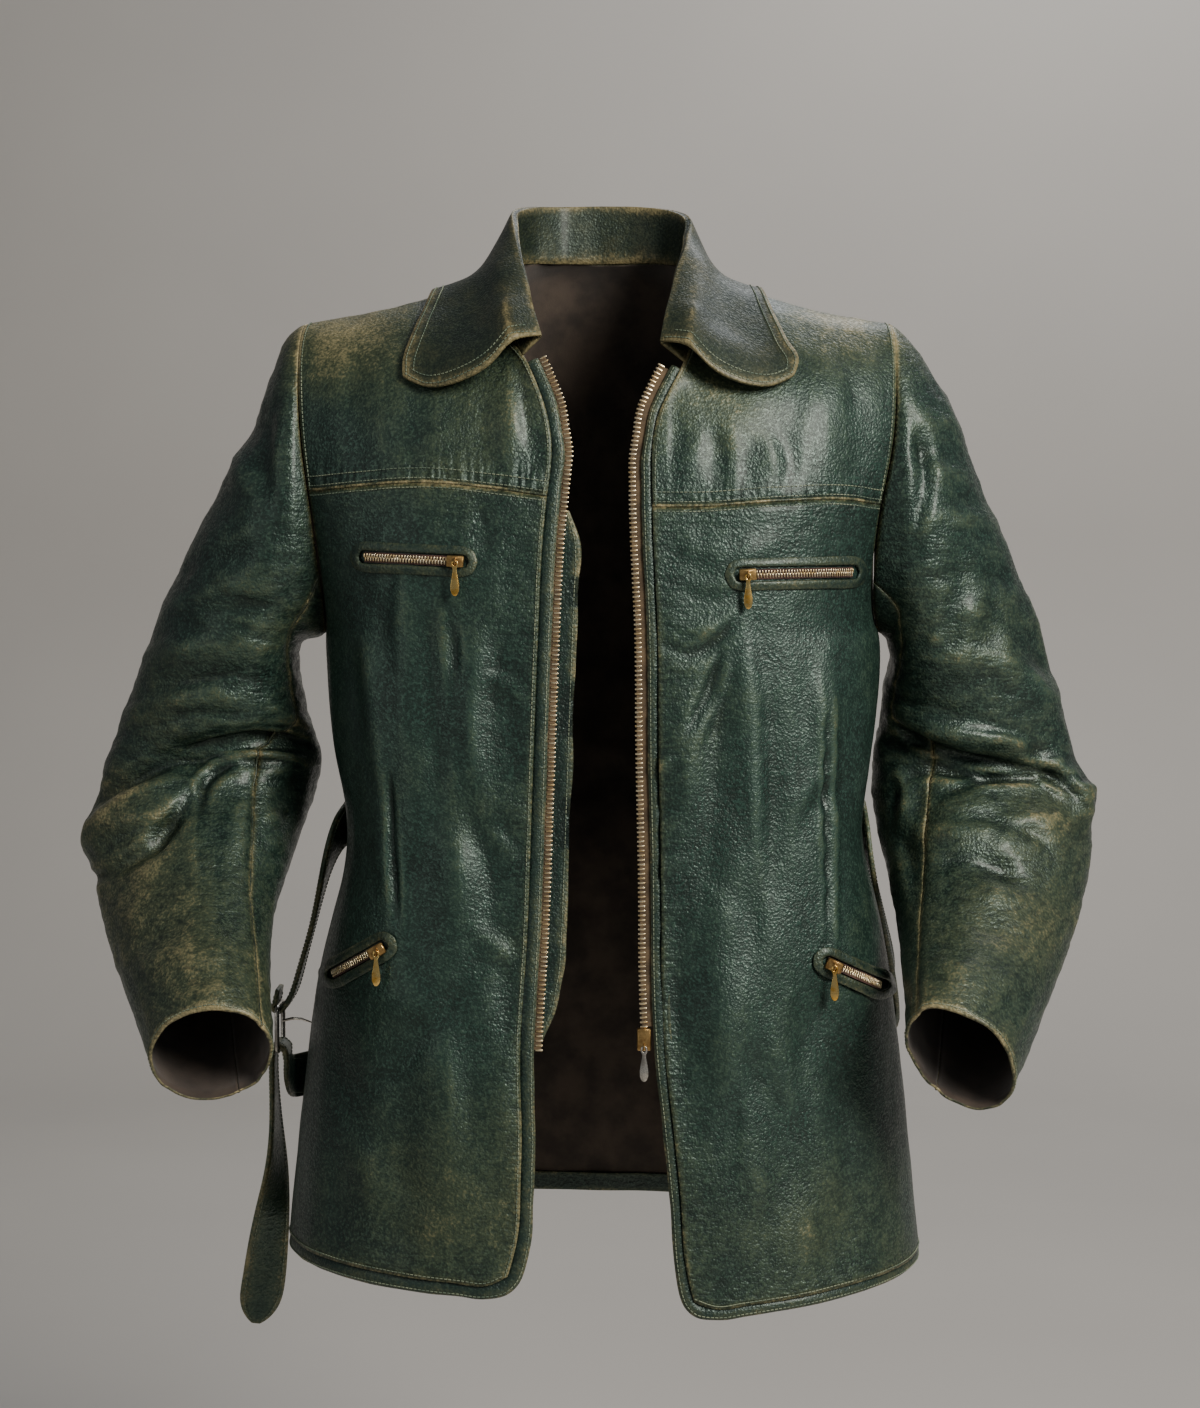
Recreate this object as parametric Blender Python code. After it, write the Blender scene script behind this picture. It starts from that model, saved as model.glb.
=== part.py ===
"""Leather motoring coat, hip length, worn open, as a Blender model in metres with Z up.

The coat hangs as it is worn. The origin is midway between the shoulders, +X is the
wearer's left, the front faces -Y and the hem is down. Every leather piece is a wall of
its own, and all of them are cut from one surface, so that they meet at their seams.
"""

import math

import bmesh
import bpy
import numpy as np
from mathutils import Matrix, Vector
from mathutils.bvhtree import BVHTree

MM = 0.001
RIGHT, LEFT = -1, 1                      # the wearer's sides, along X

# Leather and its joins
LEATHER = 2.0 * MM                       # wall of a garment piece
STRIP_LEATHER = 1.6 * MM                 # wall of a band, a flap or a welt
SEAM_INSET = 0.16 * MM                   # how far each piece stops short of its seam line
AIR = 0.35 * MM                          # between pieces that lie on each other
MOST_MITRE = 1.45                        # how much a wall may thicken in a sharp seam

# Outline tables are read square from the front, from this far away, at this height
VIEW_DISTANCE = 2100 * MM
VIEW_HEIGHT = -226.5 * MM

# How finely the surface is cut
YOKE_ROWS, NECK_ROWS = 8, 5              # up the yoke, of which the last ones follow the neck
ARM_FRONT_ROWS = 5                       # of the front below the yoke, beside the armhole
SIDE_ROWS = 13                           # down the side seam
FRONT_COLUMNS = 14                       # twice the columns of the back's shoulder seam
BACK_COLUMNS = 22                        # of which the middle ones follow the neck
BACK_NECK_COLUMNS = 8
SHOULDER_COLUMNS = (BACK_COLUMNS - BACK_NECK_COLUMNS) // 2
RING_POINTS = 24                         # round a sleeve
SLEEVE_RINGS = 21                        # down a sleeve, after the armhole


def table(names, *rows, unit=MM):
    """Rows of numbers as one array for each named column."""
    return dict(zip(names.split(), np.array(rows, float).T * unit))


# Front edges of the two panels, where the leather folds over the zip band:
# across is the distance from the middle, down from the shoulders, as seen
RIGHT_EDGE = table("down across", (39, -57), (51, -51), (64, -45), (77, -40), (91, -36),
                   (106, -35), (136, -38), (151, -39), (181, -42), (242, -45), (378, -50),
                   (483, -54), (566, -59), (649, -58), (690, -60), (760, -62))
LEFT_EDGE = table("down across", (44, 66), (54, 59), (64, 53), (76, 48), (91, 44),
                  (106, 42), (136, 40), (151, 41), (181, 42), (242, 45), (340, 46),
                  (438, 48), (528, 49), (589, 53), (619, 57), (649, 60), (690, 64),
                  (780, 68))
# How far the front edge stands before the middle plane
EDGE_DEPTH = table("down depth", (30, 97), (64, 106), (100, 114), (150, 120), (200, 124),
                   (300, 127), (390, 127), (500, 134), (600, 141), (780, 149))
YOKE_SEAM = {
    RIGHT: table("across down", (-213, 141), (-195, 139), (-127, 135), (-74, 140), (-39, 145)),
    LEFT: table("across down", (41, 153), (77, 153), (137, 149), (198, 149), (213, 152)),
}
# Side seams: how far out on each side, and how square the plan is at that height
SIDE = table("down right left", (248, 204.5, 211.5), (300, 202, 210), (345, 195, 204),
             (392, 186, 196), (425, 190, 202), (460, 200, 211), (500, 210, 219),
             (550, 217, 226), (600, 223, 231.5), (650, 229, 237), (730, 236, 245))
PLAN = table("down squareness back", (240, 2500, 119), (300, 2700, 108), (392, 3200, 92),
             (460, 2900, 104), (550, 2500, 120), (650, 2250, 132), (730, 2150, 139))
# How deep the middle of the back lies in each row from the armpits to the neck
UPPER_BACK = table("row depth", (0, 119), (2, 121), (4, 122), (6, 119), (8, 107), (10, 86),
                   (11, 71))
HEM = table("side front_z side_z back_z corner", (RIGHT, 709, 698, 684, 24),
            (LEFT, 726, 709, 684, 20))
CORNER_COLUMNS = 3                       # of the hem's points that lie on the round corner
HEM_BAND = 9 * MM                        # the band stands this far outside a panel's edge

# Armhole, the same at both sides but for how far out it lies
ARM_MIDDLE, ARM_HALF_HEIGHT = -131.5 * MM, 116.5 * MM
ARM_FRONT_DEPTH, ARM_BACK_DEPTH = 66 * MM, 72 * MM
ARM_YOKE_ANGLE = {RIGHT: 96, LEFT: 101}  # degrees from the shoulder tip to the yoke seam
ARMHOLE = table("angle right left", (0, 218, 218.5), (45, 221, 220), (80, 216.5, 215.5),
                (105, 209.5, 206), (135, 204, 202.5), (180, 204.5, 211.5),
                (225, 209, 213), (270, 216, 217), (315, 221, 220.5), (360, 218, 218.5))
SHOULDER_TO_NECK = [(160, 2, -4.5), (123, 4, 7.0), (96, 7, 15)]
NECK_SIDE = (74.5, 10, 27)
NECK_FRONT = [(69, -72, -27), (75.5, -32, 3)]
NECK_BACK = [(60, 44, 35), (32, 65, 38), (0, 71, 38)]

# Sleeve sections: the outer and inner points of a ring as seen from the front, its
# distance behind the middle plane, half its depth, how far it leans forward (degrees)
# and where round the ring the front seam runs (degrees from the outer point)
SLEEVE = {
    RIGHT: table("ring outer outer_down inner inner_down",
                 (1, 235, 29, 211, 251), (3, 263, 98, 223, 254), (5, 298, 165, 226, 267),
                 (7, 327, 223, 224, 287), (9, 347, 278, 219, 308), (11, 362, 320, 212, 329),
                 (13, 374, 356, 211, 349), (15, 385, 393, 217, 373), (17, 383, 435, 230, 409),
                 (19, 369, 487, 247, 468), (21, 340, 573, 247, 562)),
    LEFT: table("ring outer outer_down inner inner_down",
                (1, 235, 29, 217, 252), (3, 265, 76, 220, 263), (5, 288, 136, 220, 275),
                (7, 318, 205, 216, 289), (9, 341, 264, 214, 307), (11, 352, 313, 210, 327),
                (13, 363, 353, 207, 348), (15, 373, 396, 208, 375), (17, 369, 442, 218, 420),
                (19, 352, 500, 229, 482), (21, 317, 589, 234, 552)),
}
SLEEVE_SECTION = table("ring depth half_depth lean seam",
                       (1, 0, 72, -5, 138), (3, 3, 74, -7, 145), (5, 7, 71, -8, 152),
                       (7, 13, 67, -8, 156), (9, 20, 65, -4, 155), (11, 27, 64, 5, 138),
                       (13, 30, 62, 20, 122), (15, 21, 60, 36, 124), (17, -13, 57, 47, 131),
                       (19, -74, 51, 53, 143), (21, -178, 42.5, 58, 152))
FRONT_SEAM_POINT, BACK_SEAM_POINT = 10, 17

# Folds of the sleeves: start, middle and end as seen, height (raised or sunk) and width
SLEEVE_FOLDS = {
    RIGHT: table("a0 d0 a1 d1 a2 d2 height width",
                 (-232, 330, -306, 330, -384, 382, -12, 9),
                 (-246, 340, -300, 341, -392, 396, 8, 11),
                 (-298, 352, -326, 395, -392, 441, -9, 9),
                 (-330, 360, -360, 380, -392, 420, 7, 14),
                 (-210, 345, -222, 350, -236, 352, 4, 12),
                 (-262, 226, -296, 262, -350, 262, -2.5, 14),
                 (-252, 442, -310, 432, -372, 470, -2, 12)),
    LEFT: table("a0 d0 a1 d1 a2 d2 height width",
                (228, 330, 272, 345, 318, 352, -12, 8),
                (252, 331, 318, 322, 368, 372, 8, 10),
                (330, 338, 338, 350, 342, 368, -8, 9),
                (240, 358, 290, 366, 345, 372, -5, 10),
                (262, 385, 318, 392, 376, 372, 8, 9),
                (268, 232, 322, 226, 345, 282, -6, 11),
                (262, 262, 305, 238, 342, 300, 5, 12),
                (300, 425, 330, 440, 376, 455, -4, 12),
                (318, 400, 350, 410, 366, 452, 4, 13)),
}
# Folds of the sleeves behind, seen from the front as through the cloth
BACK_SLEEVE_FOLDS = table("a0 d0 a1 d1 a2 d2 height width",
                          (240, 318, 290, 330, 350, 318, -5, 12),
                          (236, 352, 290, 372, 352, 352, -6, 12),
                          (262, 300, 300, 300, 336, 290, 4, 12),
                          (246, 395, 300, 412, 356, 396, -4, 12),
                          (262, 160, 280, 210, 300, 262, -4, 14))
# Soft folds of the fronts and the back
FRONT_FOLDS = table("a0 d0 a1 d1 a2 d2 height width",
                    (-62, 60, -66, 90, -64, 128, 4, 9),
                    (-172, 300, -162, 420, -154, 560, 4, 10),
                    (-196, 560, -192, 620, -196, 700, -5, 13),
                    (-152, 600, -148, 650, -150, 705, -5, 12),
                    (-112, 560, -116, 630, -112, 700, 3, 16),
                    (174, 290, 172, 400, 172, 480, 3.5, 9),
                    (176, 560, 184, 620, 186, 720, -7, 20),
                    (100, 330, 96, 430, 104, 560, 3, 22),
                    (66, 64, 72, 90, 70, 130, 3, 10),
                    (196, 470, 204, 540, 206, 620, 4, 12))
BACK_FOLDS = table("a0 d0 a1 d1 a2 d2 height width",
                   (-120, 110, -100, 220, -96, 330, 5, 30),
                   (120, 110, 100, 220, 96, 330, 5, 30),
                   (-60, 420, -70, 540, -84, 690, 6, 22),
                   (60, 430, 74, 560, 92, 690, 6, 24),
                   (0, 430, 4, 560, -2, 690, -5, 24),
                   (-140, 440, -150, 560, -160, 690, -5, 20),
                   (140, 450, 150, 560, 162, 690, -5, 20),
                   (-40, 330, 0, 350, 44, 332, 4, 12))

# Collar: the fold line, the free outer edge and the curved front edges, as
# (across, depth, height) in the room; the table of each side runs from front to back
COLLAR_FOLD = {
    RIGHT: [(-41.5, -101, -37), (-46, -88, -20), (-50.5, -66, 0), (-55.5, -44, 21),
            (-59, -18, 42), (-60.5, 8, 59), (-59.5, 27, 69), (-49, 49, 75), (-27, 65, 78),
            (0, 69, 79)],
    LEFT: [(46.5, -101, -41), (49, -88, -22), (53, -68, -4), (57, -46, 14), (62.5, -20, 34),
           (64.5, 8, 50), (65, 27, 64), (53, 49, 73), (29, 65, 78), (0, 69, 79)],
}
COLLAR_OUTER = {
    RIGHT: [(-140, -94, -62), (-141, -88, -52), (-138.5, -78, -41), (-134, -62, -27),
            (-129, -36, -8), (-124, -8, 9), (-121, 22, 9), (-112, 52, 1), (-88, 82, -4),
            (-48, 99, -4), (0, 104, -3)],
    LEFT: [(141, -94, -61), (145, -86, -50), (139.5, -74, -37), (133, -54, -24),
           (128, -34, -6), (123, -6, 11), (120, 22, 11), (112, 52, 3), (88, 82, -2),
           (48, 99, -3), (0, 104, -3)],
}
COLLAR_FRONT = {
    RIGHT: [(-41.5, -101, -37), (-50, -108, -35), (-58, -112, -37), (-66, -114, -43),
            (-72, -114, -51), (-82, -113, -60), (-97, -111, -67), (-112, -107, -70),
            (-127, -101, -71), (-136, -97, -68), (-140, -94, -62)],
    LEFT: [(46.5, -101, -41), (54, -109, -40), (61, -113, -41), (68, -114, -45),
           (74, -114, -51), (81, -113, -59), (92, -112, -66), (106, -108, -69),
           (124, -102, -70), (136, -97, -67), (141, -94, -61)],
}
COLLAR_LEATHER = 2.4 * MM
COLLAR_FALL_ROWS = 5
NECK_AXIS = np.array((0, -15, -60)) * MM
FOLD_RADIUS, FOLD_STEPS = 3.4 * MM, 3
FRONT_EDGE_FADE = 5                      # how soon the curve of the front edge dies away
COLLAR_LIFT = 2.2 * MM                   # of the fall over the shoulders

# Zip band, zip, flap: measured from a panel's edge towards the middle, and inward
BAND_UNDER = 5 * MM
BAND_OUT = {RIGHT: 9.4 * MM, LEFT: 7.4 * MM}
BEAD_FROM = {RIGHT: 10.2 * MM, LEFT: 11.2 * MM}
BEAD_WIDTH, BEAD_THICK, TAPE_THICK = 5.6 * MM, 3.0 * MM, 0.9 * MM
BAND_TOP = LEATHER + AIR
TAPE_TOP = BAND_TOP + STRIP_LEATHER + AIR
FLAP_TOP = TAPE_TOP + (TAPE_THICK + BEAD_THICK) / 2 + AIR
FLAP_ACROSS = (-4 * MM, 27 * MM)
ZIP_DOWN = {RIGHT: (46, 566), LEFT: (52, 546)}
FLAP_DOWN = (153, 560)
FLAP_SHAPE = table("share reach", (0, 0.6), (0.05, 0.92), (0.1, 1), (0.86, 1), (0.93, 0.88),
                   (1, 0.5), unit=1)
STEP_DOWN = 16 * MM                      # spacing of sections down the front edge
BAND_TOP_GAP, BAND_END_GAP = 6 * MM, 1.2 * MM

# Zip pockets: middle, length and height of the slot as seen, slope in degrees, the end
# where the slider rests, and how far the pull hangs from there
POCKETS = {
    "chest_right": dict(across=-138.5, down=192.5, length=83, height=10.5, slope=3, slider=1),
    "chest_left": dict(across=149, down=203, length=94, height=11.5, slope=-1.5, slider=-1),
    "hip_right": dict(across=-181, down=496, length=52, height=9.8, slope=-30, slider=1),
    "hip_left": dict(across=193, down=506, length=52, height=9.8, slope=25, slider=-1),
}
WELT_WIDTH, WELT_HEIGHT = 6.0 * MM, 2.0 * MM
LAID_AIR = 0.7 * MM                      # between the coat and what is laid over its curves
SLOT_RUN_POINTS = 6                      # steps along the straight part of a slot
POCKET_BEAD_WIDTH, POCKET_BEAD_HEIGHT = 7.4 * MM, 1.7 * MM

# Sliders and their pulls
PLATE = (12.5 * MM, 2.0 * MM, 8.5 * MM)  # along the zip, thickness, across the zip
MAIN_SLIDER = (10.0 * MM, 7.0 * MM, 16.0 * MM)
MAIN_AXIS_RISE = 3.0 * MM                # of the pull's axis over the main slider's foot
SLIDER_AIR = 1.2 * MM                    # between a slider and the teeth under it
BAIL_RADIUS, BAIL_WIRE = 2.3 * MM, 0.65 * MM
AXIS_STAND = 1.25 * MM                   # from the plate to the pull's axis
PULL_THICK = 1.2 * MM
PULL = table("down half_width", (-0.6, 1.2), (0.2, 2.1), (1.6, 2.5), (3.4, 2.3), (5.2, 1.4),
             (7.5, 1.5), (12, 2.3), (17, 3.1), (20.5, 3.1), (23.2, 2.1), (24.6, 0.8))
PULL_EYE_MIDDLE, PULL_EYE = 2.1 * MM, (1.2 * MM, 1.5 * MM)

# Belt: stations of its middle line, and the direction across the strap there
BELT_WIDTH, BELT_THICK = 32 * MM, 3.0 * MM
BELT_HEIGHT = -392 * MM
BELT_STAND = 2.4 * MM                    # between the coat and the strap
FRAME_MIDDLE = (-244.5, 28, -550.5)
FRAME_HALF = (18.0, 17.0)                # across the strap, along the strap
FRAME_WIRE = 1.9
BELT_RIGHT = table("x y z across_x across_y across_z",
                   (-234, 27, -524, 0, -1, 0), (-227, 24, -502, 0, -1, 0),
                   (-217, 17, -468, 0, -1, -0.1), (-208.5, 9, -436, 0, -1, 0.2),
                   (-201, 6, -413, 0, -0.75, 0.6), (-195, 10, -399, 0, -0.35, 0.9),
                   (-191.5, 20, -393.5, 0, -0.1, 1))
BELT_LEFT = table("x y z across_x across_y across_z",
                  (201.5, 16, -394, 0, -0.3, 1), (202.5, 7, -401, 0, -0.7, 0.8),
                  (204.5, 2.5, -413, 0, -1, 0.3), (207.5, 3, -428, 0, -1, -0.1),
                  (213, 12, -450, 0, -1, -0.45), (222, 34, -481, 0, -0.9, -0.6),
                  (231, 64, -518, 0, -0.8, -0.7), (231, 95, -548, 0, -0.5, -0.9))
BELT_BEHIND = table("around stand down", (40, 5, 585), (14, 5, 602), (-12, 5, 606),
                    (-38, 5, 600), (-58, 7, 590))
BELT_INTO_FRAME = table("x y z across_x across_y across_z",
                        (-234.5, 60, -594, 0, -0.15, -1), (-238.5, 43, -590, 0, -0.6, -0.8),
                        (-239, 32.5, -580, 0, -0.95, -0.3), (-238.6, 29, -571, 0, -1, 0))
BELT_AXIS = np.array((0, 10, 0)) * MM
TAIL = table("x y z across_x across_y across_z",
             (-249.4, 28, -585, 0, -1, 0), (-248.3, 29, -620, -0.1, -1, 0),
             (-247.8, 30, -655, -0.35, -0.94, 0), (-250.4, 30, -686, -0.65, -0.76, 0),
             (-254.2, 30, -717, -0.85, -0.53, 0), (-258.1, 30, -747, -0.95, -0.3, 0),
             (-261.3, 30, -764, -0.95, -0.3, 0), (-263.6, 30, -775, -0.95, -0.3, 0),
             (-264.8, 30, -781, -0.95, -0.3, 0))
LOOP_HEIGHT, LOOP_WIDTH, LOOP_ROOM = 50 * MM, 13 * MM, 3.5 * MM

COLOURS = {                              # base colour, roughness, metallic
    "leather": ((0.035, 0.075, 0.062, 1), 0.45, 0.0),
    "tape": ((0.30, 0.23, 0.17, 1), 0.9, 0.0),
    "brass": ((0.60, 0.42, 0.20, 1), 0.35, 1.0),
    "gilt": ((0.85, 0.62, 0.22, 1), 0.25, 1.0),
    "nickel": ((0.70, 0.69, 0.66, 1), 0.25, 1.0),
}


# ---------------------------------------------------------------- points and lines

def from_front(across, down, depth):
    """The point that shows `across` and `down` from the front, `depth` behind the middle."""
    grow = (VIEW_DISTANCE + depth) / VIEW_DISTANCE
    height = VIEW_HEIGHT + (-down - VIEW_HEIGHT) * grow
    return np.stack(np.broadcast_arrays(across * grow, depth, height), axis=-1)


def seen_from_front(points):
    """How far across and down each point shows from the front."""
    shrink = VIEW_DISTANCE / (VIEW_DISTANCE + points[..., 1])
    across = points[..., 0] * shrink
    down = -(VIEW_HEIGHT + (points[..., 2] - VIEW_HEIGHT) * shrink)
    return across, down


def column(rows, name, where, value):
    """A table's column, read between its rows."""
    return np.interp(value, rows[where], rows[name])


def smooth_column(rows, name, where, value):
    """A table's column, read along a smooth curve through its rows."""
    places, heights = rows[where], rows[name]
    slopes = np.gradient(heights, places)
    index = np.clip(np.searchsorted(places, value) - 1, 0, len(places) - 2)
    span = places[index + 1] - places[index]
    t = np.clip((value - places[index]) / span, 0, 1)
    rise = heights[index + 1] - heights[index]
    start, end = slopes[index] * span, slopes[index + 1] * span
    return heights[index] + start * t + (3 * rise - 2 * start - end) * t ** 2 \
        + (start + end - 2 * rise) * t ** 3


def unit(vectors):
    """The same directions with length 1."""
    return vectors / np.maximum(np.linalg.norm(vectors, axis=-1, keepdims=True), 1e-12)


def evenly(points, spans):
    """Points at even spacing along a line, ends included."""
    points = np.asarray(points, float)
    steps = np.linalg.norm(np.diff(points, axis=0), axis=1)
    lengths = np.concatenate(([0], np.cumsum(steps)))
    places = np.linspace(0, lengths[-1], spans + 1)
    return np.stack([np.interp(places, lengths, axis) for axis in points.T], axis=-1)


def smooth(points, fineness=12):
    """A smooth line through the given points, with `fineness` steps between each two."""
    points = np.asarray(points, float)
    padded = np.vstack((2 * points[0] - points[1], points, 2 * points[-1] - points[-2]))
    line = []
    for before, start, end, after in zip(padded, padded[1:], padded[2:], padded[3:]):
        for t in np.arange(fineness) / fineness:
            line.append(0.5 * (2 * start + (end - before) * t
                               + (2 * before - 5 * start + 4 * end - after) * t ** 2
                               + (3 * start - before - 3 * end + after) * t ** 3))
    line.append(points[-1])
    return np.array(line)


def millimetres(points, side=1):
    """A list of points in millimetres, mirrored to a side, in metres."""
    return np.array(points, float) * MM * (side, 1, 1)


def coons(bottom, top, left, right):
    """A patch between four edges that share their corners; rows run from bottom to top."""
    u = np.linspace(0, 1, len(bottom))[None, :, None]
    v = np.linspace(0, 1, len(left))[:, None, None]
    across = (1 - v) * bottom[None] + v * top[None]
    along = (1 - u) * left[:, None] + u * right[:, None]
    corners = ((1 - v) * ((1 - u) * bottom[0] + u * bottom[-1])
               + v * ((1 - u) * top[0] + u * top[-1]))
    return across + along - corners


# ---------------------------------------------------------------- folds

def fold_height(folds, across, down):
    """How far the folds of a table raise or sink the cloth where it shows there."""
    total = np.zeros(across.shape)
    t = np.linspace(0, 1, 25)
    for row in range(len(folds["height"])):
        a0, d0, a1, d1, a2, d2, height, width = (folds[name][row] for name in folds)
        line_a = a0 * (1 - t) ** 2 + 2 * a1 * t * (1 - t) + a2 * t ** 2
        line_d = d0 * (1 - t) ** 2 + 2 * d1 * t * (1 - t) + d2 * t ** 2
        away = np.hypot(across[..., None] - line_a, down[..., None] - line_d)
        total += height * np.exp(-(away.min(axis=-1) / width) ** 2)
    return total


def fold_body(points):
    """The folds of the fronts and of the back, raised straight forward or back."""
    across, down = seen_from_front(points)
    depth = points[..., 1]
    outward = -np.sign(depth) * np.clip((np.abs(depth) - 12 * MM) / (60 * MM), 0, 1)
    raised = np.where(outward > 0, fold_height(FRONT_FOLDS, across, down) * outward,
                      fold_height(BACK_FOLDS, points[..., 0], -points[..., 2]) * -outward)
    folded = points.copy()
    folded[..., 1] -= raised * np.sign(outward)
    return folded


# ---------------------------------------------------------------- the body of the coat

def shoulder_tip_and_armhole(side, first, last, spans):
    """Points of an armhole between two angles, measured forward from the shoulder tip."""
    angles = np.linspace(first, last, spans + 1)
    turn = np.radians(angles)
    name = "right" if side == RIGHT else "left"
    out = smooth_column(ARMHOLE, name, "angle", angles * MM) * side
    depth = np.where(np.sin(turn) > 0, ARM_FRONT_DEPTH, ARM_BACK_DEPTH)
    return np.stack((out, -depth * np.sin(turn),
                     ARM_MIDDLE + ARM_HALF_HEIGHT * np.cos(turn)), axis=-1)


def plan_curve(edge, side_point, turn, squareness, spans):
    """A level line from the front or back edge round to the side, turning by `turn`."""
    angle = np.linspace(0, math.radians(turn), 60)
    along = np.sin(angle) ** (2 / squareness)
    away = 1 - np.cos(angle) ** (2 / squareness)
    line = np.stack((edge[0] + (side_point[0] - edge[0]) * along / along[-1],
                     edge[1] + (side_point[1] - edge[1]) * away / away[-1],
                     edge[2] + (side_point[2] - edge[2]) * along / along[-1]), axis=-1)
    return evenly(line, spans)


def edge_point(side, down):
    """The front edge of a panel at a distance down as seen."""
    rows = RIGHT_EDGE if side == RIGHT else LEFT_EDGE
    return from_front(smooth_column(rows, "across", "down", down), down,
                      -smooth_column(EDGE_DEPTH, "depth", "down", down))


def down_of_edge(side, height):
    """How far down the front edge shows where it has this height."""
    downs = np.linspace(30, 800, 400) * MM
    heights = edge_point(side, downs)[:, 2]
    return np.interp(-height, -heights, downs)


def hem_of(side):
    """The hem's heights and corner radius for a side, in metres."""
    row = 0 if side == RIGHT else 1
    return {name: HEM[name][row] for name in HEM}


def side_seam(side, spans):
    """The side seam from the armpit to the hem."""
    heights = np.linspace(ARM_MIDDLE - ARM_HALF_HEIGHT, -hem_of(side)["side_z"], spans + 1)
    name = "right" if side == RIGHT else "left"
    out = smooth_column(SIDE, name, "down", -heights) * side
    return np.stack((out, np.zeros(spans + 1), heights), axis=-1)


def front_corner(side):
    """The rounded corner of a front: from its edge, over the corner, to the level hem."""
    hem = hem_of(side)
    foot = edge_point(side, down_of_edge(side, -hem["front_z"]))
    radius = hem["corner"]
    turn = np.radians(np.linspace(0, 90, 19))
    start_down = down_of_edge(side, foot[2] + radius)
    start = edge_point(side, start_down)
    across = start[0] + (foot[0] + side * radius - start[0]) * (1 - np.cos(turn))
    height = foot[2] + radius * (1 - np.sin(turn))
    depth = np.full(19, foot[1]) + (start[1] - foot[1]) * (1 - np.sin(turn))
    return np.stack((across, depth, height), axis=-1), start_down


def front_panel(side):
    """The front below the yoke: rows go down from the yoke seam, columns to the side."""
    armhole = shoulder_tip_and_armhole(side, ARM_YOKE_ANGLE[side], 180, ARM_FRONT_ROWS)
    outer_edge = np.vstack((armhole, side_seam(side, SIDE_ROWS)[1:]))
    corner, corner_down = front_corner(side)
    middle = len(corner) // 2
    seam = YOKE_SEAM[side]
    seam_down = seam["down"][-1] if side == RIGHT else seam["down"][0]
    downs = np.linspace(seam_down, corner_down, 120)
    inner_line = np.vstack((edge_point(side, downs), corner[1:middle + 1]))
    rows = ARM_FRONT_ROWS + SIDE_ROWS
    fall = np.cumsum(np.concatenate(([0], np.linalg.norm(np.diff(outer_edge, axis=0), axis=1))))
    inner_length = np.linalg.norm(np.diff(inner_line, axis=0), axis=1)
    inner_at = np.concatenate(([0], np.cumsum(inner_length)))
    inner_edge = np.stack([np.interp(fall / fall[-1] * inner_at[-1], inner_at, axis)
                           for axis in inner_line.T], axis=-1)
    grid = np.zeros((rows + 1, FRONT_COLUMNS + 1, 3))
    for row in range(rows + 1):
        down = -outer_edge[row][2]
        turn = 55 + 35 * min(1, row / ARM_FRONT_ROWS)
        square = column(PLAN, "squareness", "down", down) / MM / 1000
        grid[row] = plan_curve(inner_edge[row], outer_edge[row], turn, square, FRONT_COLUMNS)
    grid[0] = on_yoke_seam(side, grid[0])
    hem_line = bottom_of_front(side, corner[middle:], grid[-1])
    shift = hem_line - grid[-1]
    for row in range(rows - 3, rows + 1):
        grid[row] += shift * ((row - rows + 4) / 4) ** 2
    grid[:, 0], grid[:, -1] = inner_edge, outer_edge
    return grid


def on_yoke_seam(side, line):
    """A level line of the body moved up or down to the yoke seam."""
    seam = YOKE_SEAM[side]
    across, _ = seen_from_front(line)
    down = smooth_column(seam, "down", "across", across)
    moved = from_front(across, down, line[:, 1])
    moved[0], moved[-1] = line[0], line[-1]
    return moved


def bottom_of_front(side, corner, level):
    """The hem: the rest of the rounded corner, then level to the side."""
    rest = level[level[:, 0] * side > corner[-1][0] * side + 8 * MM].copy()
    rest[:, 2] = np.interp(np.abs(rest[:, 0]), [abs(corner[-1][0]), abs(level[-1][0])],
                           [corner[-1][2], level[-1][2]])
    return evenly(np.vstack((corner, rest)), FRONT_COLUMNS)


def neckline(side, spans):
    """The neckline from the front edge to the shoulder seam."""
    rows = RIGHT_EDGE if side == RIGHT else LEFT_EDGE
    start = edge_point(side, rows["down"][0])
    line = smooth(np.vstack((start, millimetres(NECK_FRONT + [NECK_SIDE], side))))
    return evenly(line, spans)


def shoulder_seam(side, spans):
    """The shoulder seam from the neck to the shoulder tip."""
    tip = shoulder_tip_and_armhole(side, 0, 90, 1)[0]
    line = np.vstack((tip, millimetres(SHOULDER_TO_NECK + [NECK_SIDE], side)))
    return evenly(smooth(line), spans)[::-1]


def yoke_panel(side, seam_line):
    """The yoke: rows go up from the yoke seam, columns from the front edge to the armhole."""
    rows = RIGHT_EDGE if side == RIGHT else LEFT_EDGE
    start_down = down_of_edge(side, seam_line[0][2])
    edge_rows = YOKE_ROWS - NECK_ROWS
    downs = np.linspace(start_down, rows["down"][0], edge_rows + 1)
    inner = np.vstack((edge_point(side, downs), neckline(side, NECK_ROWS)[1:]))
    inner[0] = seam_line[0]
    outer = shoulder_tip_and_armhole(side, ARM_YOKE_ANGLE[side], 0, YOKE_ROWS)
    top = with_middles(shoulder_seam(side, FRONT_COLUMNS // 2))
    grid = coons(seam_line, top, inner, outer)
    return relaxed(grid, 3)


def with_middles(line):
    """A line with the middle of each of its spans added as a point."""
    finer = np.repeat(line, 2, axis=0)[:-1].copy()
    finer[1::2] = (line[:-1] + line[1:]) / 2
    return finer


def relaxed(grid, times):
    """The patch with its inner points eased towards their neighbours."""
    grid = grid.copy()
    for _ in range(times):
        around = (grid[:-2, 1:-1] + grid[2:, 1:-1] + grid[1:-1, :-2] + grid[1:-1, 2:]) / 4
        grid[1:-1, 1:-1] += 0.5 * (around - grid[1:-1, 1:-1])
    return grid


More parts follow.
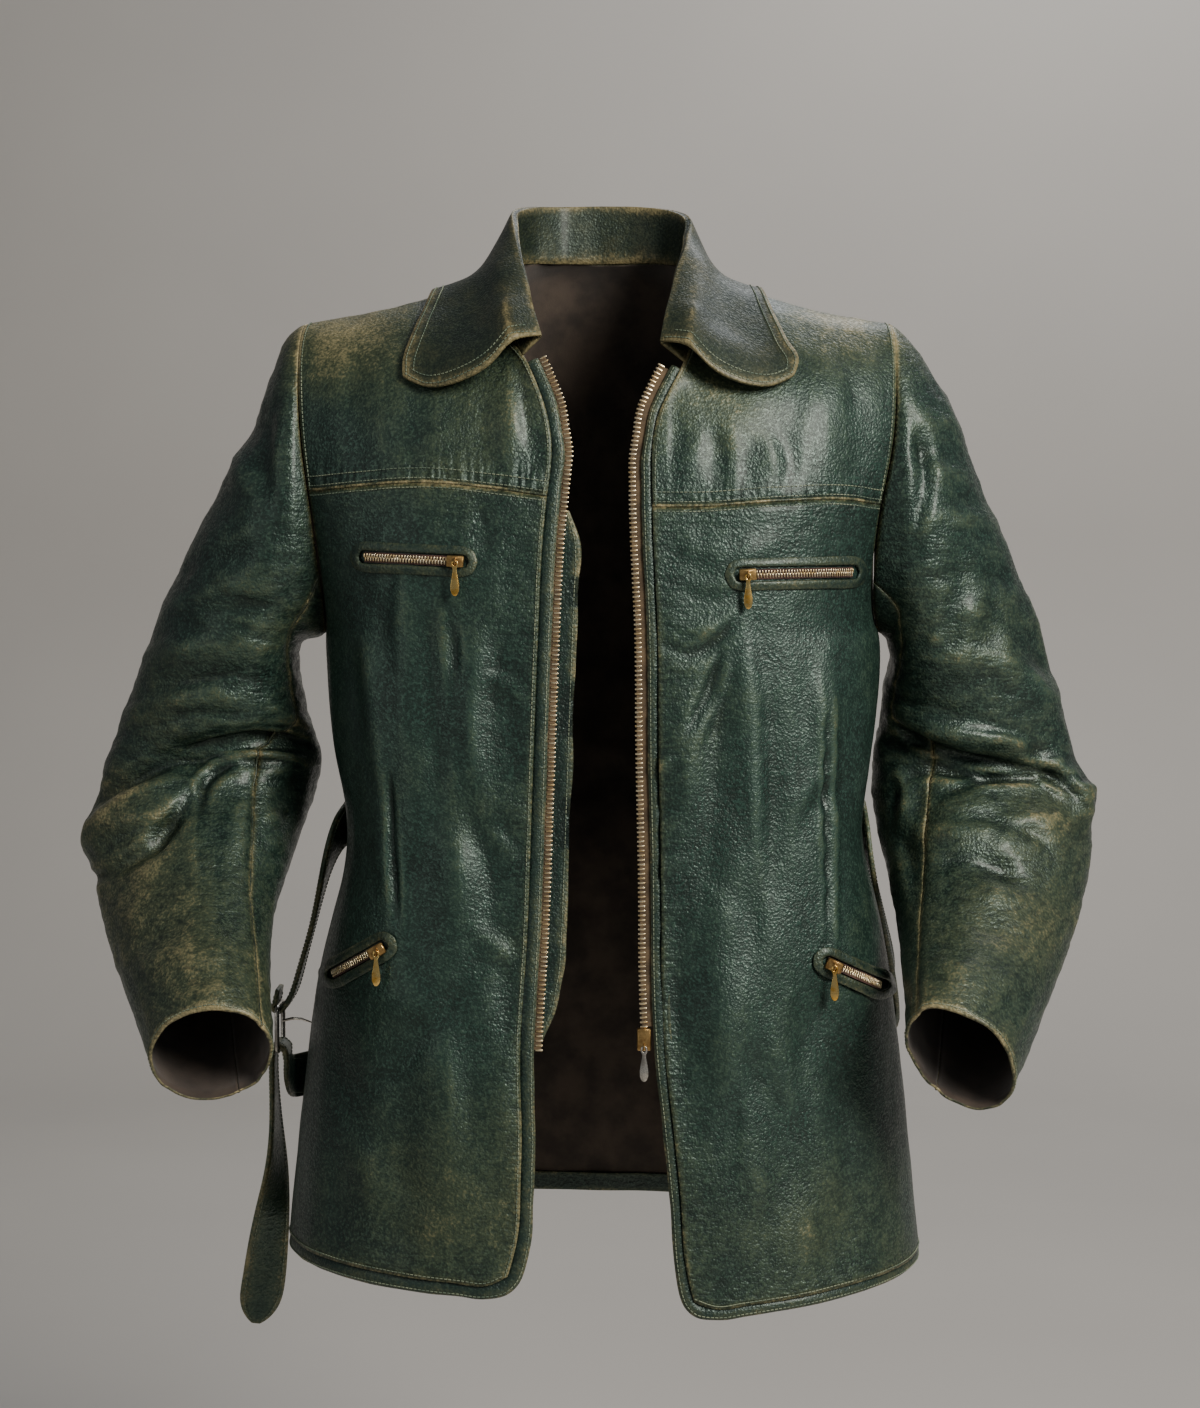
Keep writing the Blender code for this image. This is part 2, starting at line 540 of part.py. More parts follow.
def back_line(right_point, left_point, down, spans):
    """A level line round the back from the right side to the left one."""
    square = column(PLAN, "squareness", "down", down) / MM / 1000
    hollow = column(PLAN, "back", "down", down)
    height = (right_point[2] + left_point[2]) / 2
    middle = np.array(((right_point[0] + left_point[0]) / 2, hollow, height))
    right = plan_curve(middle, right_point, 90, square, 60)
    left = plan_curve(middle, left_point, 90, square, 60)
    return evenly(np.vstack((right[::-1], left[1:])), spans)


def back_depths(row, line, rise):
    """How deep a level line of the upper back lies: full in the middle, less at the arms."""
    deep = column(UPPER_BACK, "depth", "row", row * MM)
    turn = math.radians(np.interp(rise, [0, 0.3, 1], [88, 62, 58]))
    reach = np.where(line[:, 0] < 0, line[0, 0], line[-1, 0])
    arm = np.where(line[:, 0] < 0, line[0, 1], line[-1, 1])
    part_way = np.clip(line[:, 0] / reach, 0, 1)
    angle = np.arcsin(part_way * math.sin(turn))
    fullness = (np.cos(angle) - math.cos(turn)) / (1 - math.cos(turn))
    return arm + (deep - arm) * np.clip(fullness, 0, 1) ** 0.9


def back_panel():
    """The whole back: rows go up from the hem, columns from the right side to the left."""
    right, left = side_seam(RIGHT, SIDE_ROWS)[::-1], side_seam(LEFT, SIDE_ROWS)[::-1]
    lower = []
    for row, (right_point, left_point) in enumerate(zip(right, left)):
        line = back_line(right_point, left_point, -right_point[2], BACK_COLUMNS)
        around = np.sin(np.linspace(0, math.pi, BACK_COLUMNS + 1))
        rise = hem_of(RIGHT)["side_z"] - hem_of(RIGHT)["back_z"]
        line[:, 2] += rise * around * (1 - row / SIDE_ROWS) ** 2
        lower.append(line)
    arm_rows = RING_POINTS - YOKE_ROWS - ARM_FRONT_ROWS
    right_arm = shoulder_tip_and_armhole(RIGHT, 180, 360, arm_rows)
    left_arm = shoulder_tip_and_armhole(LEFT, 180, 360, arm_rows)
    neck = np.vstack((millimetres([NECK_SIDE] + NECK_BACK, RIGHT),
                      millimetres(([NECK_SIDE] + NECK_BACK)[-2::-1], LEFT)))
    top = np.vstack((shoulder_seam(RIGHT, SHOULDER_COLUMNS)[::-1],
                     evenly(smooth(neck), BACK_NECK_COLUMNS)[1:],
                     shoulder_seam(LEFT, SHOULDER_COLUMNS)[1:]))
    upper = coons(lower[-1], top, right_arm, left_arm)
    shape = np.array([back_depths(row, upper[row], row / arm_rows)
                      for row in range(arm_rows + 1)])
    for end in (0, -1):
        share = np.linspace(1, 0, arm_rows + 1) if end == 0 else np.linspace(0, 1, arm_rows + 1)
        edge = (lower[-1] if end == 0 else top)[:, 1] - shape[end]
        shape += share[:, None] ** 2 * edge[None]
    upper[..., 1] = shape
    grid = np.vstack((np.array(lower), upper[1:]))
    eased = relaxed(grid, 6)
    keep = np.abs(np.arange(len(grid)) - SIDE_ROWS) > 4
    grid[~keep, 1:-1] = eased[~keep, 1:-1]
    return grid


# ---------------------------------------------------------------- sleeves

def ring_angles(seam):
    """The angle of each point round a ring, with the front seam at the given angle."""
    lowest = YOKE_ROWS + ARM_FRONT_ROWS
    front = np.linspace(0, seam, FRONT_SEAM_POINT + 1)
    under = np.linspace(seam, 180, lowest - FRONT_SEAM_POINT + 1)[1:]
    back = np.linspace(180, 360, RING_POINTS - lowest + 1)[1:]
    return np.concatenate((front, under, back))


def sleeve(side, armhole):
    """Rings from the armhole loop to the cuff; the first and last column are the same."""
    rings = [armhole]
    outline, fold_side = SLEEVE[side], SLEEVE_FOLDS[side]
    for ring in range(1, SLEEVE_RINGS + 1):
        place = ring * MM
        read = {name: smooth_column(outline, name, "ring", place) for name in outline}
        section = {name: smooth_column(SLEEVE_SECTION, name, "ring", place)
                   for name in SLEEVE_SECTION}
        outer = from_front(side * read["outer"], read["outer_down"], section["depth"])
        inner = from_front(side * read["inner"], read["inner_down"], section["depth"])
        lean = math.radians(section["lean"] / MM)
        forward = np.array((0, -math.cos(lean), math.sin(lean))) * section["half_depth"]
        turn = np.radians(ring_angles(section["seam"] / MM))[:, None]
        middle, half = (outer + inner) / 2, (outer - inner) / 2
        radial = np.cos(turn) * half + np.sin(turn) * forward
        points = middle + radial
        across, down = seen_from_front(points)
        facing = np.clip(np.sin(turn[:, 0]) * 1.6, -1, 1)
        front = fold_height(fold_side, across, down) * np.clip(facing, 0, 1)
        behind = fold_height(BACK_SLEEVE_FOLDS, across * side, down) * np.clip(-facing, 0, 1)
        sharp = 0.85 * np.sqrt(np.clip(1 - np.abs(facing), 0, 1))
        edge = fold_height(fold_side, across, down) * sharp * 0.5
        near_arm = min(1, ring / 4)
        points = points + unit(radial) * ((front + behind + edge) * near_arm)[:, None]
        points[-1] = points[0]
        rings.append(points)
    return np.array(rings)


def armhole_loop(yoke, front, back, side):
    """The armhole from the shoulder tip, down the front, under the arm and up the back."""
    arm_rows = RING_POINTS - YOKE_ROWS - ARM_FRONT_ROWS
    back_side = back[SIDE_ROWS:, 0 if side == RIGHT else -1]
    return np.vstack((yoke[::-1, -1], front[1:ARM_FRONT_ROWS + 1, -1],
                      back_side[1:arm_rows + 1]))


# ---------------------------------------------------------------- walls

def grid_normals(grid, closed=False):
    """The direction square to the surface at each point of a grid."""
    if closed:
        padded = np.concatenate((grid[:, -2:-1], grid, grid[:, 1:2]), axis=1)
        around = (padded[:, 2:] - padded[:, :-2]) / 2
    else:
        around = np.gradient(grid, axis=1)
    return unit(np.cross(np.gradient(grid, axis=0), around))


def key_of(point):
    """A point rounded so that shared points of two pieces are found."""
    return tuple(np.round(point * 1e6).astype(int))


def rim_points(grid):
    """Each point of a grid's four edges, with the direction from it into the piece."""
    rows, cols = grid.shape[:2]
    ways_in = {}
    for along_row, edge, inner in ((True, 0, 1), (True, -1, -2), (False, 0, 1), (False, -1, -2)):
        for place in range(cols if along_row else rows):
            slot = (edge % rows, place) if along_row else (place, edge % cols)
            inward = (inner % rows, place) if along_row else (place, inner % cols)
            ways_in.setdefault(slot, []).append(unit(grid[inward] - grid[slot]))
    return {slot: unit(np.sum(ways, axis=0)) for slot, ways in ways_in.items()}


def family_of(name):
    """Pieces of one family lie in one surface; seams between families are corners."""
    return name.split("_")[0] if name.startswith(("sleeve", "stand")) else "body"


def walls_of(grids, normals):
    """Outer and inner side of each wall, mitred and kept apart where pieces meet."""
    meeting = {}
    for name, grid in grids.items():
        for slot, inward in rim_points(grid).items():
            meeting.setdefault(key_of(grid[slot]), []).append((name, normals[name][slot], inward))
    walls = {}
    for name, grid in grids.items():
        outer, inner = grid.copy(), grid - normals[name] * LEATHER
        for slot, inward in rim_points(grid).items():
            here = meeting[key_of(grid[slot])]
            families = {}
            for other, square, _ in here:
                families.setdefault(family_of(other), []).append(square)
            squares = np.array([unit(np.sum(kin, axis=0)) for kin in families.values()])
            mean = unit(squares.mean(axis=0))
            spread = max(0.2, float(np.mean(squares @ mean)))
            depth = -mean * LEATHER * min(MOST_MITRE, 1 / spread)
            beside = [other_in for other, _, other_in in here if other != name]
            if beside:
                away = inward - np.mean(beside, axis=0)
                outer[slot] += unit(away - mean * (away @ mean)) * SEAM_INSET
            inner[slot] = outer[slot] + depth
        walls[name] = (outer, inner)
    return walls


def wall_mesh(name, outer, inner, material):
    """A closed wall between an outer and an inner grid of the same size."""
    rows, cols = outer.shape[:2]
    points = np.vstack((outer.reshape(-1, 3), inner.reshape(-1, 3)))
    index = np.arange(rows * cols).reshape(rows, cols)
    far = rows * cols
    faces = []
    for row in range(rows - 1):
        for col in range(cols - 1):
            a, b = index[row, col], index[row, col + 1]
            c, d = index[row + 1, col + 1], index[row + 1, col]
            short = np.linalg.norm(points[a] - points[c]) <= np.linalg.norm(points[b] - points[d])
            halves = ((a, b, c), (a, c, d)) if short else ((a, b, d), (b, c, d))
            for half in halves:
                faces.append(half)
                faces.append(tuple(far + corner for corner in half[::-1]))
    rim = list(index[0, :]) + list(index[1:, -1]) + list(index[-1, -2::-1]) \
        + list(index[-2:0:-1, 0])
    for here, there in zip(rim, rim[1:] + rim[:1]):
        rise = points[there] - points[here]
        first = rise[2] > 0 if abs(rise[2]) > 0.8 * MM else rise[0] > 0
        if first:
            faces += [(there, here, far + here), (there, far + here, far + there)]
        else:
            faces += [(there, here, far + there), (here, far + here, far + there)]
    mesh = bpy.data.meshes.new(name)
    mesh.from_pydata([tuple(point) for point in points], [],
                     [tuple(int(corner) for corner in face) for face in faces])
    return add_object(name, mesh, material)


def strip_mesh(name, sections, material, closed=False):
    """A closed bar through sections of the same number of points, one after the other."""
    count, corners = sections.shape[:2]
    points = sections.reshape(-1, 3)
    faces = []
    for step in range(count if closed else count - 1):
        here, there = step * corners, (step + 1) % count * corners
        for side in range(corners):
            after = (side + 1) % corners
            a, b, c, d = here + side, here + after, there + after, there + side
            short = np.linalg.norm(points[a] - points[c]) <= np.linalg.norm(points[b] - points[d])
            faces += [(a, b, c), (a, c, d)] if short else [(a, b, d), (b, c, d)]
    if not closed:
        faces.append(tuple(range(corners))[::-1])
        faces.append(tuple((count - 1) * corners + corner for corner in range(corners)))
    mesh = bpy.data.meshes.new(name)
    mesh.from_pydata([tuple(point) for point in points], [], faces)
    return add_object(name, mesh, material)


def add_object(name, mesh, material):
    """A new object in the coat's collection, with its faces pointing out."""
    shape = bmesh.new()
    shape.from_mesh(mesh)
    bmesh.ops.recalc_face_normals(shape, faces=shape.faces)
    if shape.calc_volume(signed=True) < 0:
        bmesh.ops.reverse_faces(shape, faces=shape.faces)
    shape.to_mesh(mesh)
    shape.free()
    mesh.materials.append(materials[material])
    made = bpy.data.objects.new(name, mesh)
    coat.objects.link(made)
    return made


# ---------------------------------------------------------------- collar

def collar(neck, neck_inside):
    """The stand, the fold and the fall in one wall, from the right front round the neck."""
    stations = len(neck)
    fold = round_the_neck(COLLAR_FOLD, stations)
    outer = round_the_neck(COLLAR_OUTER, stations)
    fronts = {side: evenly(smooth(millimetres(COLLAR_FRONT[side])), COLLAR_FALL_ROWS)
              for side in (RIGHT, LEFT)}
    share = np.linspace(0, 1, COLLAR_FALL_ROWS + 1)[:, None, None]
    fall = fold * (1 - share) + outer * share
    along = np.linspace(0, 1, stations)[None, :, None]
    for side, fade in ((RIGHT, 1 - along), (LEFT, along)):
        end = 0 if side == RIGHT else -1
        fall = fall + (fronts[side] - fall[:, end])[:, None] * fade ** FRONT_EDGE_FADE
    middle = neck_inside * 0.5 + fold * 0.5
    run = unit(np.gradient(fold, axis=0))
    up = fold - middle
    up = unit(up - run * np.sum(up * run, axis=1, keepdims=True))
    out = unit(np.cross(run, up))
    out *= np.sign(np.sum(out * (fold - NECK_AXIS) * (1, 1, 0), axis=1, keepdims=True))
    leaf = unit(fall[1] - fold)
    last = np.arctan2(np.sum(leaf * out, axis=1), -np.sum(leaf * up, axis=1))
    last = np.clip(last, math.radians(2), math.radians(120))
    centre = fold + out * FOLD_RADIUS
    arcs, under_arcs = [], []
    for share in np.linspace(0, 1, FOLD_STEPS + 1):
        turn = (math.pi + (last - math.pi) * share)[:, None]
        square = out * np.cos(turn) + up * np.sin(turn)
        arcs.append(centre + square * FOLD_RADIUS)
        under_arcs.append(centre + square * (FOLD_RADIUS - COLLAR_LEATHER))
    fade = np.linspace(1, 0, COLLAR_FALL_ROWS + 1)[:, None, None]
    fall = fall + (arcs[-1] - fold)[None] * fade
    fall[1:] = lifted(fall[1:], COLLAR_LEATHER + COLLAR_LIFT)
    square = grid_normals(fall)
    square *= np.sign(np.sum(square * (fall - NECK_AXIS) * (1, 1, 1.5), axis=-1, keepdims=True))
    under = fall - square * COLLAR_LEATHER
    face = np.array([neck_inside, middle] + arcs + list(fall[1:]))
    hidden = np.array([neck, middle + out * COLLAR_LEATHER] + under_arcs + list(under[1:]))
    for side in (face, hidden):
        side[0] += unit(fold - neck_inside) * SEAM_INSET
    return face, hidden


def round_the_neck(sides, stations):
    """A collar line of both sides in one, at as many points as the neckline has."""
    half = stations // 2
    right = evenly(smooth(millimetres(sides[RIGHT])), half)
    left = evenly(smooth(millimetres(sides[LEFT])), half)
    return np.vstack((right, left[-2::-1]))


def lifted(points, clearance):
    """Points moved out of the body until they clear it."""
    moved = points.copy()
    for index in np.ndindex(points.shape[:-1]):
        place, square, _, _ = body.find_nearest(Vector(points[index]))
        height = (Vector(points[index]) - place).dot(square)
        if height < clearance:
            moved[index] = points[index] + np.array(square) * (clearance - height)
    return moved


# ---------------------------------------------------------------- bands, zips and pockets

def frames_along(line, surface, side):
    """Directions outward and away from the panel, at each point of its edge."""
    run = unit(np.gradient(line, axis=0))
    outward, away = [], []
    for point, along in zip(line, run):
        place, square, _, _ = surface.find_nearest(Vector(point))
        square = np.array(square)
        outward.append(square)
    outward = np.array(outward)
    for _ in range(2):
        outward[1:-1] = (outward[:-2] + 2 * outward[1:-1] + outward[2:]) / 4
    away = unit(np.cross(run, unit(outward))) * side
    return line, unit(np.cross(away, run)) * side, away


def front_frames(side):
    """Frames down a panel's front edge, round the corner and along the hem."""
    rows = RIGHT_EDGE if side == RIGHT else LEFT_EDGE
    grid = fronts[side]
    line = edge_line[side]
    corner_z = grid[-2, 0, 2]
    top = edge_point(side, rows["down"][0] + BAND_TOP_GAP)[2]
    heights = np.linspace(top, corner_z, round((top - corner_z) / STEP_DOWN) + 1)
    straight = np.stack([np.interp(-heights, -line[:, 2], line[:, axis])
                         for axis in range(3)], axis=-1)
    turning = smooth(np.vstack((grid[-3:, 0], grid[-1, 1:CORNER_COLUMNS + 2])), 3)
    turning = turning[4:-3]
    path = np.vstack((straight, turning, grid[-1, CORNER_COLUMNS + 1:]))
    path = without_close_points(path, 3 * MM)
    path[-1] += unit(path[-2] - path[-1]) * BAND_END_GAP
    return frames_along(path, fronts_surface, side)


def part_of(frames, side, downs):
    """The frames between two distances down, as seen, with frames added at the ends."""
    at, outward, away = frames
    first, last = (edge_point(side, down * MM)[2] for down in downs)
    straight = at[:, 2] > fronts[side][-2, 0, 2] - 1 * MM
    heights = at[straight, 2]
    wanted = [first] + [z for z in heights if last + 4 * MM < z < first - 4 * MM] + [last]
    return [np.stack([np.interp(-np.array(wanted), -heights, axis[straight])
                      for axis in part.T], axis=-1) for part in (at, outward, away)]


def laid_bar(frames, profile):
    """Sections of a bar beside the edge; a profile point is (towards the middle, inward)."""
    at, outward, toward = frames
    corners = [at + toward * middle - outward * inward for middle, inward in profile]
    return np.stack(corners, axis=1)


def box_profile(start, end, top, thick):
    """A flat strip's section."""
    return [(start, top), (end, top), (end, top + thick), (start, top + thick)]


def zip_profile(start, bead):
    """A tape with the row of teeth on its edge."""
    tape_end = TAPE_TOP + TAPE_THICK
    proud = (BEAD_THICK - TAPE_THICK) / 2
    end = bead + BEAD_WIDTH
    return [(start, TAPE_TOP), (bead, TAPE_TOP), (bead, TAPE_TOP - proud),
            (end, TAPE_TOP - proud), (end, tape_end + proud), (bead, tape_end + proud),
            (bead, tape_end), (start, tape_end)]


def front_band(side, name, frames):
    """The band under a front's edge: from the neck, round the corner, to the side seam."""
    profile = box_profile(-BAND_UNDER, BAND_OUT[side], BAND_TOP, STRIP_LEATHER)
    strip_mesh(name, laid_bar(frames, profile), "leather")


def without_close_points(line, least):
    """The line without points that nearly repeat the one before."""
    kept = [line[0]]
    for point in line[1:-1]:
        if np.linalg.norm(point - kept[-1]) > least:
            kept.append(point)
    if np.linalg.norm(line[-1] - kept[-1]) <= least:
        kept.pop()
    return np.array(kept + [line[-1]])


def back_band():
    """The band under the hem of the back."""
    line = back[0].copy()
    for end, inner in ((0, 1), (-1, -2)):
        line[end] += unit(line[inner] - line[end]) * BAND_END_GAP
    profile = box_profile(-BAND_UNDER, HEM_BAND, BAND_TOP, STRIP_LEATHER)
    strip_mesh("band_back", laid_bar(frames_along(line, back_surface, RIGHT), profile),
               "leather")


def main_zip(side, name, frames):
    """One half of the front zip: the tape under the band, and the row of teeth."""
    profile = zip_profile(BAND_OUT[side] - 6 * MM, BEAD_FROM[side])
    strip_mesh(name, laid_bar(part_of(frames, side, ZIP_DOWN[side]), profile), "brass")


def wind_flap(frames):
    """The flap behind the right zip half, with rounded ends."""
    at, outward, toward = part_of(frames, RIGHT, FLAP_DOWN)
    start, end = FLAP_ACROSS
    fall = (at[0, 2] - at[:, 2]) / (at[0, 2] - at[-1, 2])
    reach = np.interp(fall, FLAP_SHAPE["share"], FLAP_SHAPE["reach"])[:, None]
    top, bottom = FLAP_TOP, FLAP_TOP + STRIP_LEATHER
    sections = np.stack((at + toward * start - outward * top,
                         at + toward * end * reach - outward * top,
                         at + toward * end * reach - outward * bottom,
                         at + toward * start - outward * bottom), axis=1)
    strip_mesh("wind_flap", sections, "leather")


def on_fronts(across, down):
    """Where a place seen from the front lies on the coat, and the direction out of it."""
    eye = Vector((0, -VIEW_DISTANCE, VIEW_HEIGHT))
    target = Vector(from_front(across, down, 0.0))
    place, square, _, _ = fronts_surface.ray_cast(eye, (target - eye).normalized())
    if place is None:
        place, square, _, _ = fronts_surface.find_nearest(target)
    if square.y > 0:
        square = -square
    return np.array(place), np.array(square)


def pocket_place(pocket, along, up):
    """A place in a pocket's own plane, as seen from the front."""
    slope = math.radians(pocket["slope"])
    across = pocket["across"] * MM + along * math.cos(slope) + up * math.sin(slope)
    down = pocket["down"] * MM + along * math.sin(slope) - up * math.cos(slope)
    return across, down


def stadium(half_length, half_height, bend_points=4, run_points=SLOT_RUN_POINTS):
    """A slot's outline with round ends, as (along, up)."""
    outline = []
    straight = half_length - half_height
    for end in (1, -1):
        for turn in np.radians(np.linspace(-90, 90, bend_points + 1)):
            outline.append((end * (straight + half_height * math.cos(turn)),
                            end * half_height * math.sin(turn)))
        for step in range(1, run_points):
            outline.append((end * straight * (1 - 2 * step / run_points), end * half_height))
    return outline


def pocket_outward(pocket):
    """The direction out of the coat along a pocket, smoothed over its facets."""
    reach = pocket["length"] / 2 * MM + WELT_WIDTH
    places = np.linspace(-reach, reach, 7)
    squares = np.array([unit(sum(on_fronts(*pocket_place(pocket, along, up))[1]
                                 for up in (-9 * MM, 0, 9 * MM))) for along in places])
    for _ in range(3):
        squares[1:-1] = (squares[:-2] + squares[1:-1] + squares[2:]) / 3
    return lambda along: unit(np.array([np.interp(along, places, axis) for axis in squares.T]))


def raised(sections, outs, surface, clearance, closed):
    """Sections moved out until the strip between them clears the surface."""
    sections = sections.copy()
    count = len(sections)
    for _ in range(12):
        lift = np.zeros(count)
        for step in range(count if closed else count - 1):
            after = (step + 1) % count
            for share in (0, 0.25, 0.5, 0.75, 1):
                corners = sections[step] * (1 - share) + sections[after] * share
                corners = np.vstack((corners, (corners + np.roll(corners, 1, axis=0)) / 2))
                for point in corners:
                    place, square, _, _ = surface.find_nearest(Vector(point))
                    short = clearance - (Vector(point) - place).dot(square)
                    lift[step] = max(lift[step], short)
                    lift[after] = max(lift[after], short)
        sections += (outs * np.clip(lift, 0, None)[:, None])[:, None]
        if lift.max() < 0.01 * MM:
            break
    return sections


def welt(name, pocket, outward):
    """The leather frame of a zip pocket, round its slot."""
    half_length, half_height = pocket["length"] / 2 * MM, pocket["height"] / 2 * MM
    inner = stadium(half_length, half_height)
    outer = stadium(half_length + WELT_WIDTH, half_height + WELT_WIDTH)
    sections, outs = [], []
    for inside, outside in zip(inner, outer):
        near, _ = on_fronts(*pocket_place(pocket, *inside))
        far, _ = on_fronts(*pocket_place(pocket, *outside))
        out = outward(inside[0])
        top = AIR + WELT_HEIGHT
        sections.append((near + out * AIR, far + out * AIR, far + out * top * 0.5,
                         near * 0.6 + far * 0.4 + out * top, near + out * top * 0.85))
        outs.append(out)
    sections = raised(np.array(sections), np.array(outs), fronts_surface, LAID_AIR, True)
    strip_mesh(name, sections, "leather", closed=True)


def pocket_zip(name, pocket, outward):
    """A closed pocket zip: its tapes and both rows of teeth in one bar in the slot."""
    half_length, half_height = pocket["length"] / 2 * MM, pocket["height"] / 2 * MM
    half_tape, half_bead = half_height - 0.7 * MM, POCKET_BEAD_WIDTH / 2
    straight = half_length - half_height
    sections, outs = [], []
    for along in np.linspace(-straight, straight, SLOT_RUN_POINTS + 1):
        places = [on_fronts(*pocket_place(pocket, along, up))[0]
                  for up in (-half_tape, -half_bead, half_bead, half_tape)]
        low, bead_low, bead_high, high = places
        out = outward(along)
        tape, bead = AIR + TAPE_THICK, AIR + POCKET_BEAD_HEIGHT
        sections.append((low + out * AIR, high + out * AIR, high + out * tape,
                         bead_high + out * tape, bead_high + out * bead,
                         bead_low + out * bead, bead_low + out * tape, low + out * tape))
        outs.append(out)
    sections = raised(np.array(sections), np.array(outs), fronts_surface, LAID_AIR, False)
    strip_mesh(name, sections, "brass")
    return sections


def bevelled_block(name, size, bevel, material):
    """A block with its edges taken off, about the origin."""
    shape = bmesh.new()
    bmesh.ops.create_cube(shape, size=1)
    bmesh.ops.scale(shape, vec=size, verts=shape.verts)
    bmesh.ops.bevel(shape, geom=shape.edges, offset=bevel, segments=1, affect="EDGES")
    mesh = bpy.data.meshes.new(name)
    shape.to_mesh(mesh)
    shape.free()
    return add_object(name, mesh, material)


def bail_mesh():
    """The small arch that holds a pull, bent round the pull's axis at the origin."""
    path = bpy.data.curves.new("bail", "CURVE")
    path.dimensions = "3D"
    path.bevel_depth = BAIL_WIRE
    path.bevel_resolution = 1
    path.use_fill_caps = True
    turns = np.radians(np.linspace(-132, 132, 9))
    line = path.splines.new("POLY")
    line.points.add(len(turns) - 1)
    for point, turn in zip(line.points, turns):
        point.co = (0, -BAIL_RADIUS * math.cos(turn), BAIL_RADIUS * math.sin(turn), 1)
    curve = bpy.data.objects.new("bail_curve", path)
    coat.objects.link(curve)
    bpy.context.view_layer.update()
    evaluated = curve.evaluated_get(bpy.context.evaluated_depsgraph_get())
    mesh = bpy.data.meshes.new_from_object(evaluated)
    bpy.data.objects.remove(curve)
    shape = bmesh.new()
    shape.from_mesh(mesh)
    bmesh.ops.remove_doubles(shape, verts=shape.verts, dist=1e-6)
    shape.to_mesh(mesh)
    shape.free()
    return mesh


def slider(name, axis, size, tilt, rise, material):
    """A slider whose pull hangs at `axis`: a plate or body with the bail joined on."""
    made = bevelled_block(name, size, 0.9 * MM, material)
    made.data.transform(Matrix.Rotation(tilt, 4, "Y"))
    made.data.transform(Matrix.Translation((0, AXIS_STAND + size[1] / 2, rise)))
    tool = bpy.data.objects.new(name + "_bail", bail_mesh())
    cutters.objects.link(tool)
    tool.hide_render = True
    tool.display_type = "WIRE"
    joined = made.modifiers.new("bail", "BOOLEAN")
    joined.operation = "UNION"
    joined.object = tool
    made.location = axis
    tool.location = axis
    return made


def pull_tab(name, axis, material):
    """A drop-shaped pull that hangs from its eye, cut from plate."""
    outline = bpy.data.curves.new(name, "CURVE")
    outline.dimensions = "2D"
    outline.fill_mode = "BOTH"
    outline.extrude = PULL_THICK / 2
    right = [(half, -down) for down, half in zip(PULL["down"], PULL["half_width"])]
    left = [(-half, height) for half, height in right[::-1]]
    eye = [(PULL_EYE[0] * math.cos(turn), PULL_EYE[1] * math.sin(turn) - PULL_EYE_MIDDLE)
           for turn in np.radians(np.arange(0, 360, 36))]
    for points in (right + left, eye):
        line = outline.splines.new("POLY")
        line.points.add(len(points) - 1)
        line.use_cyclic_u = True
        for point, (across, height) in zip(line.points, points):
            point.co = (across, height, 0, 1)
    made = bpy.data.objects.new(name, outline)
    outline.materials.append(materials[material])
    made.rotation_euler = (math.pi / 2, 0, 0)
    made.location = axis
    coat.objects.link(made)
    return made


def pocket_slider(name, pocket, outward, zip_sections):
    """The slider and pull of a zip pocket; the pull hangs straight down."""
    end = pocket["slider"] * (pocket["length"] / 2 * MM - pocket["height"] / 2 * MM
                              - PLATE[0] / 2 + 1.0 * MM)
    place, _ = on_fronts(*pocket_place(pocket, end, 0))
    out = outward(end)
    tops = (zip_sections[:, 4] + zip_sections[:, 5]) / 2
    order = np.argsort(tops[:, 0])
    top = np.array([np.interp(place[0], tops[order, 0], tops[order, axis]) for axis in range(3)])
    lift = (top - place) @ out
    slope = out[0] / out[1] * PLATE[0] / 2
    stand = lift / -out[1] + abs(slope) + SLIDER_AIR + PLATE[1] + AXIS_STAND
    axis = place - (0, stand, 0)
    slider("slider_" + name, axis, PLATE, math.radians(pocket["slope"]), 0, "brass")
    pull_tab("pull_" + name, axis, "gilt")
    return axis


def main_slider(frames):
    """The front zip's slider, at the foot of the left half, and its pull."""
    at, outward, toward = (part[-1] for part in part_of(frames, LEFT, ZIP_DOWN[LEFT]))
    across = BEAD_FROM[LEFT] + BEAD_WIDTH / 2
    foot = at + toward * across - outward * (TAPE_TOP + TAPE_THICK / 2)
    front = MAIN_SLIDER[1] / 2 + AXIS_STAND
    bottom = MAIN_SLIDER[2] + SLIDER_AIR
    axis = foot - (0, front, bottom - MAIN_AXIS_RISE)
    rise = MAIN_SLIDER[2] / 2 - MAIN_AXIS_RISE
    slider("slider_main", axis, MAIN_SLIDER, 0, rise, "brass")
    pull_tab("pull_main", axis, "nickel")
    return axis


# ---------------------------------------------------------------- belt

def torso_point(around, stand, down):
    """A point beside the coat's outer side: degrees from the middle of the back."""
    heights = -down * MM
    name = "right" if around < 0 else "left"
    side = RIGHT if around < 0 else LEFT
    half = column(SIDE, name, "down", -heights)
    deep = column(PLAN, "back", "down", -heights)
    square = 2 / (column(PLAN, "squareness", "down", -heights) / MM / 1000)
    turn = math.radians(abs(around))
    base = np.array((side * half * math.sin(turn) ** square,
                     deep * math.cos(turn) ** square, heights))
    out = unit(np.array((side * math.sin(turn) / half, math.cos(turn) / deep, 0)))
    place, square_out, _, _ = back_surface.find_nearest(Vector(base))
    if Vector(out).dot(square_out) < 0:
        square_out = -square_out
    return np.array(place) + out * stand * MM, out


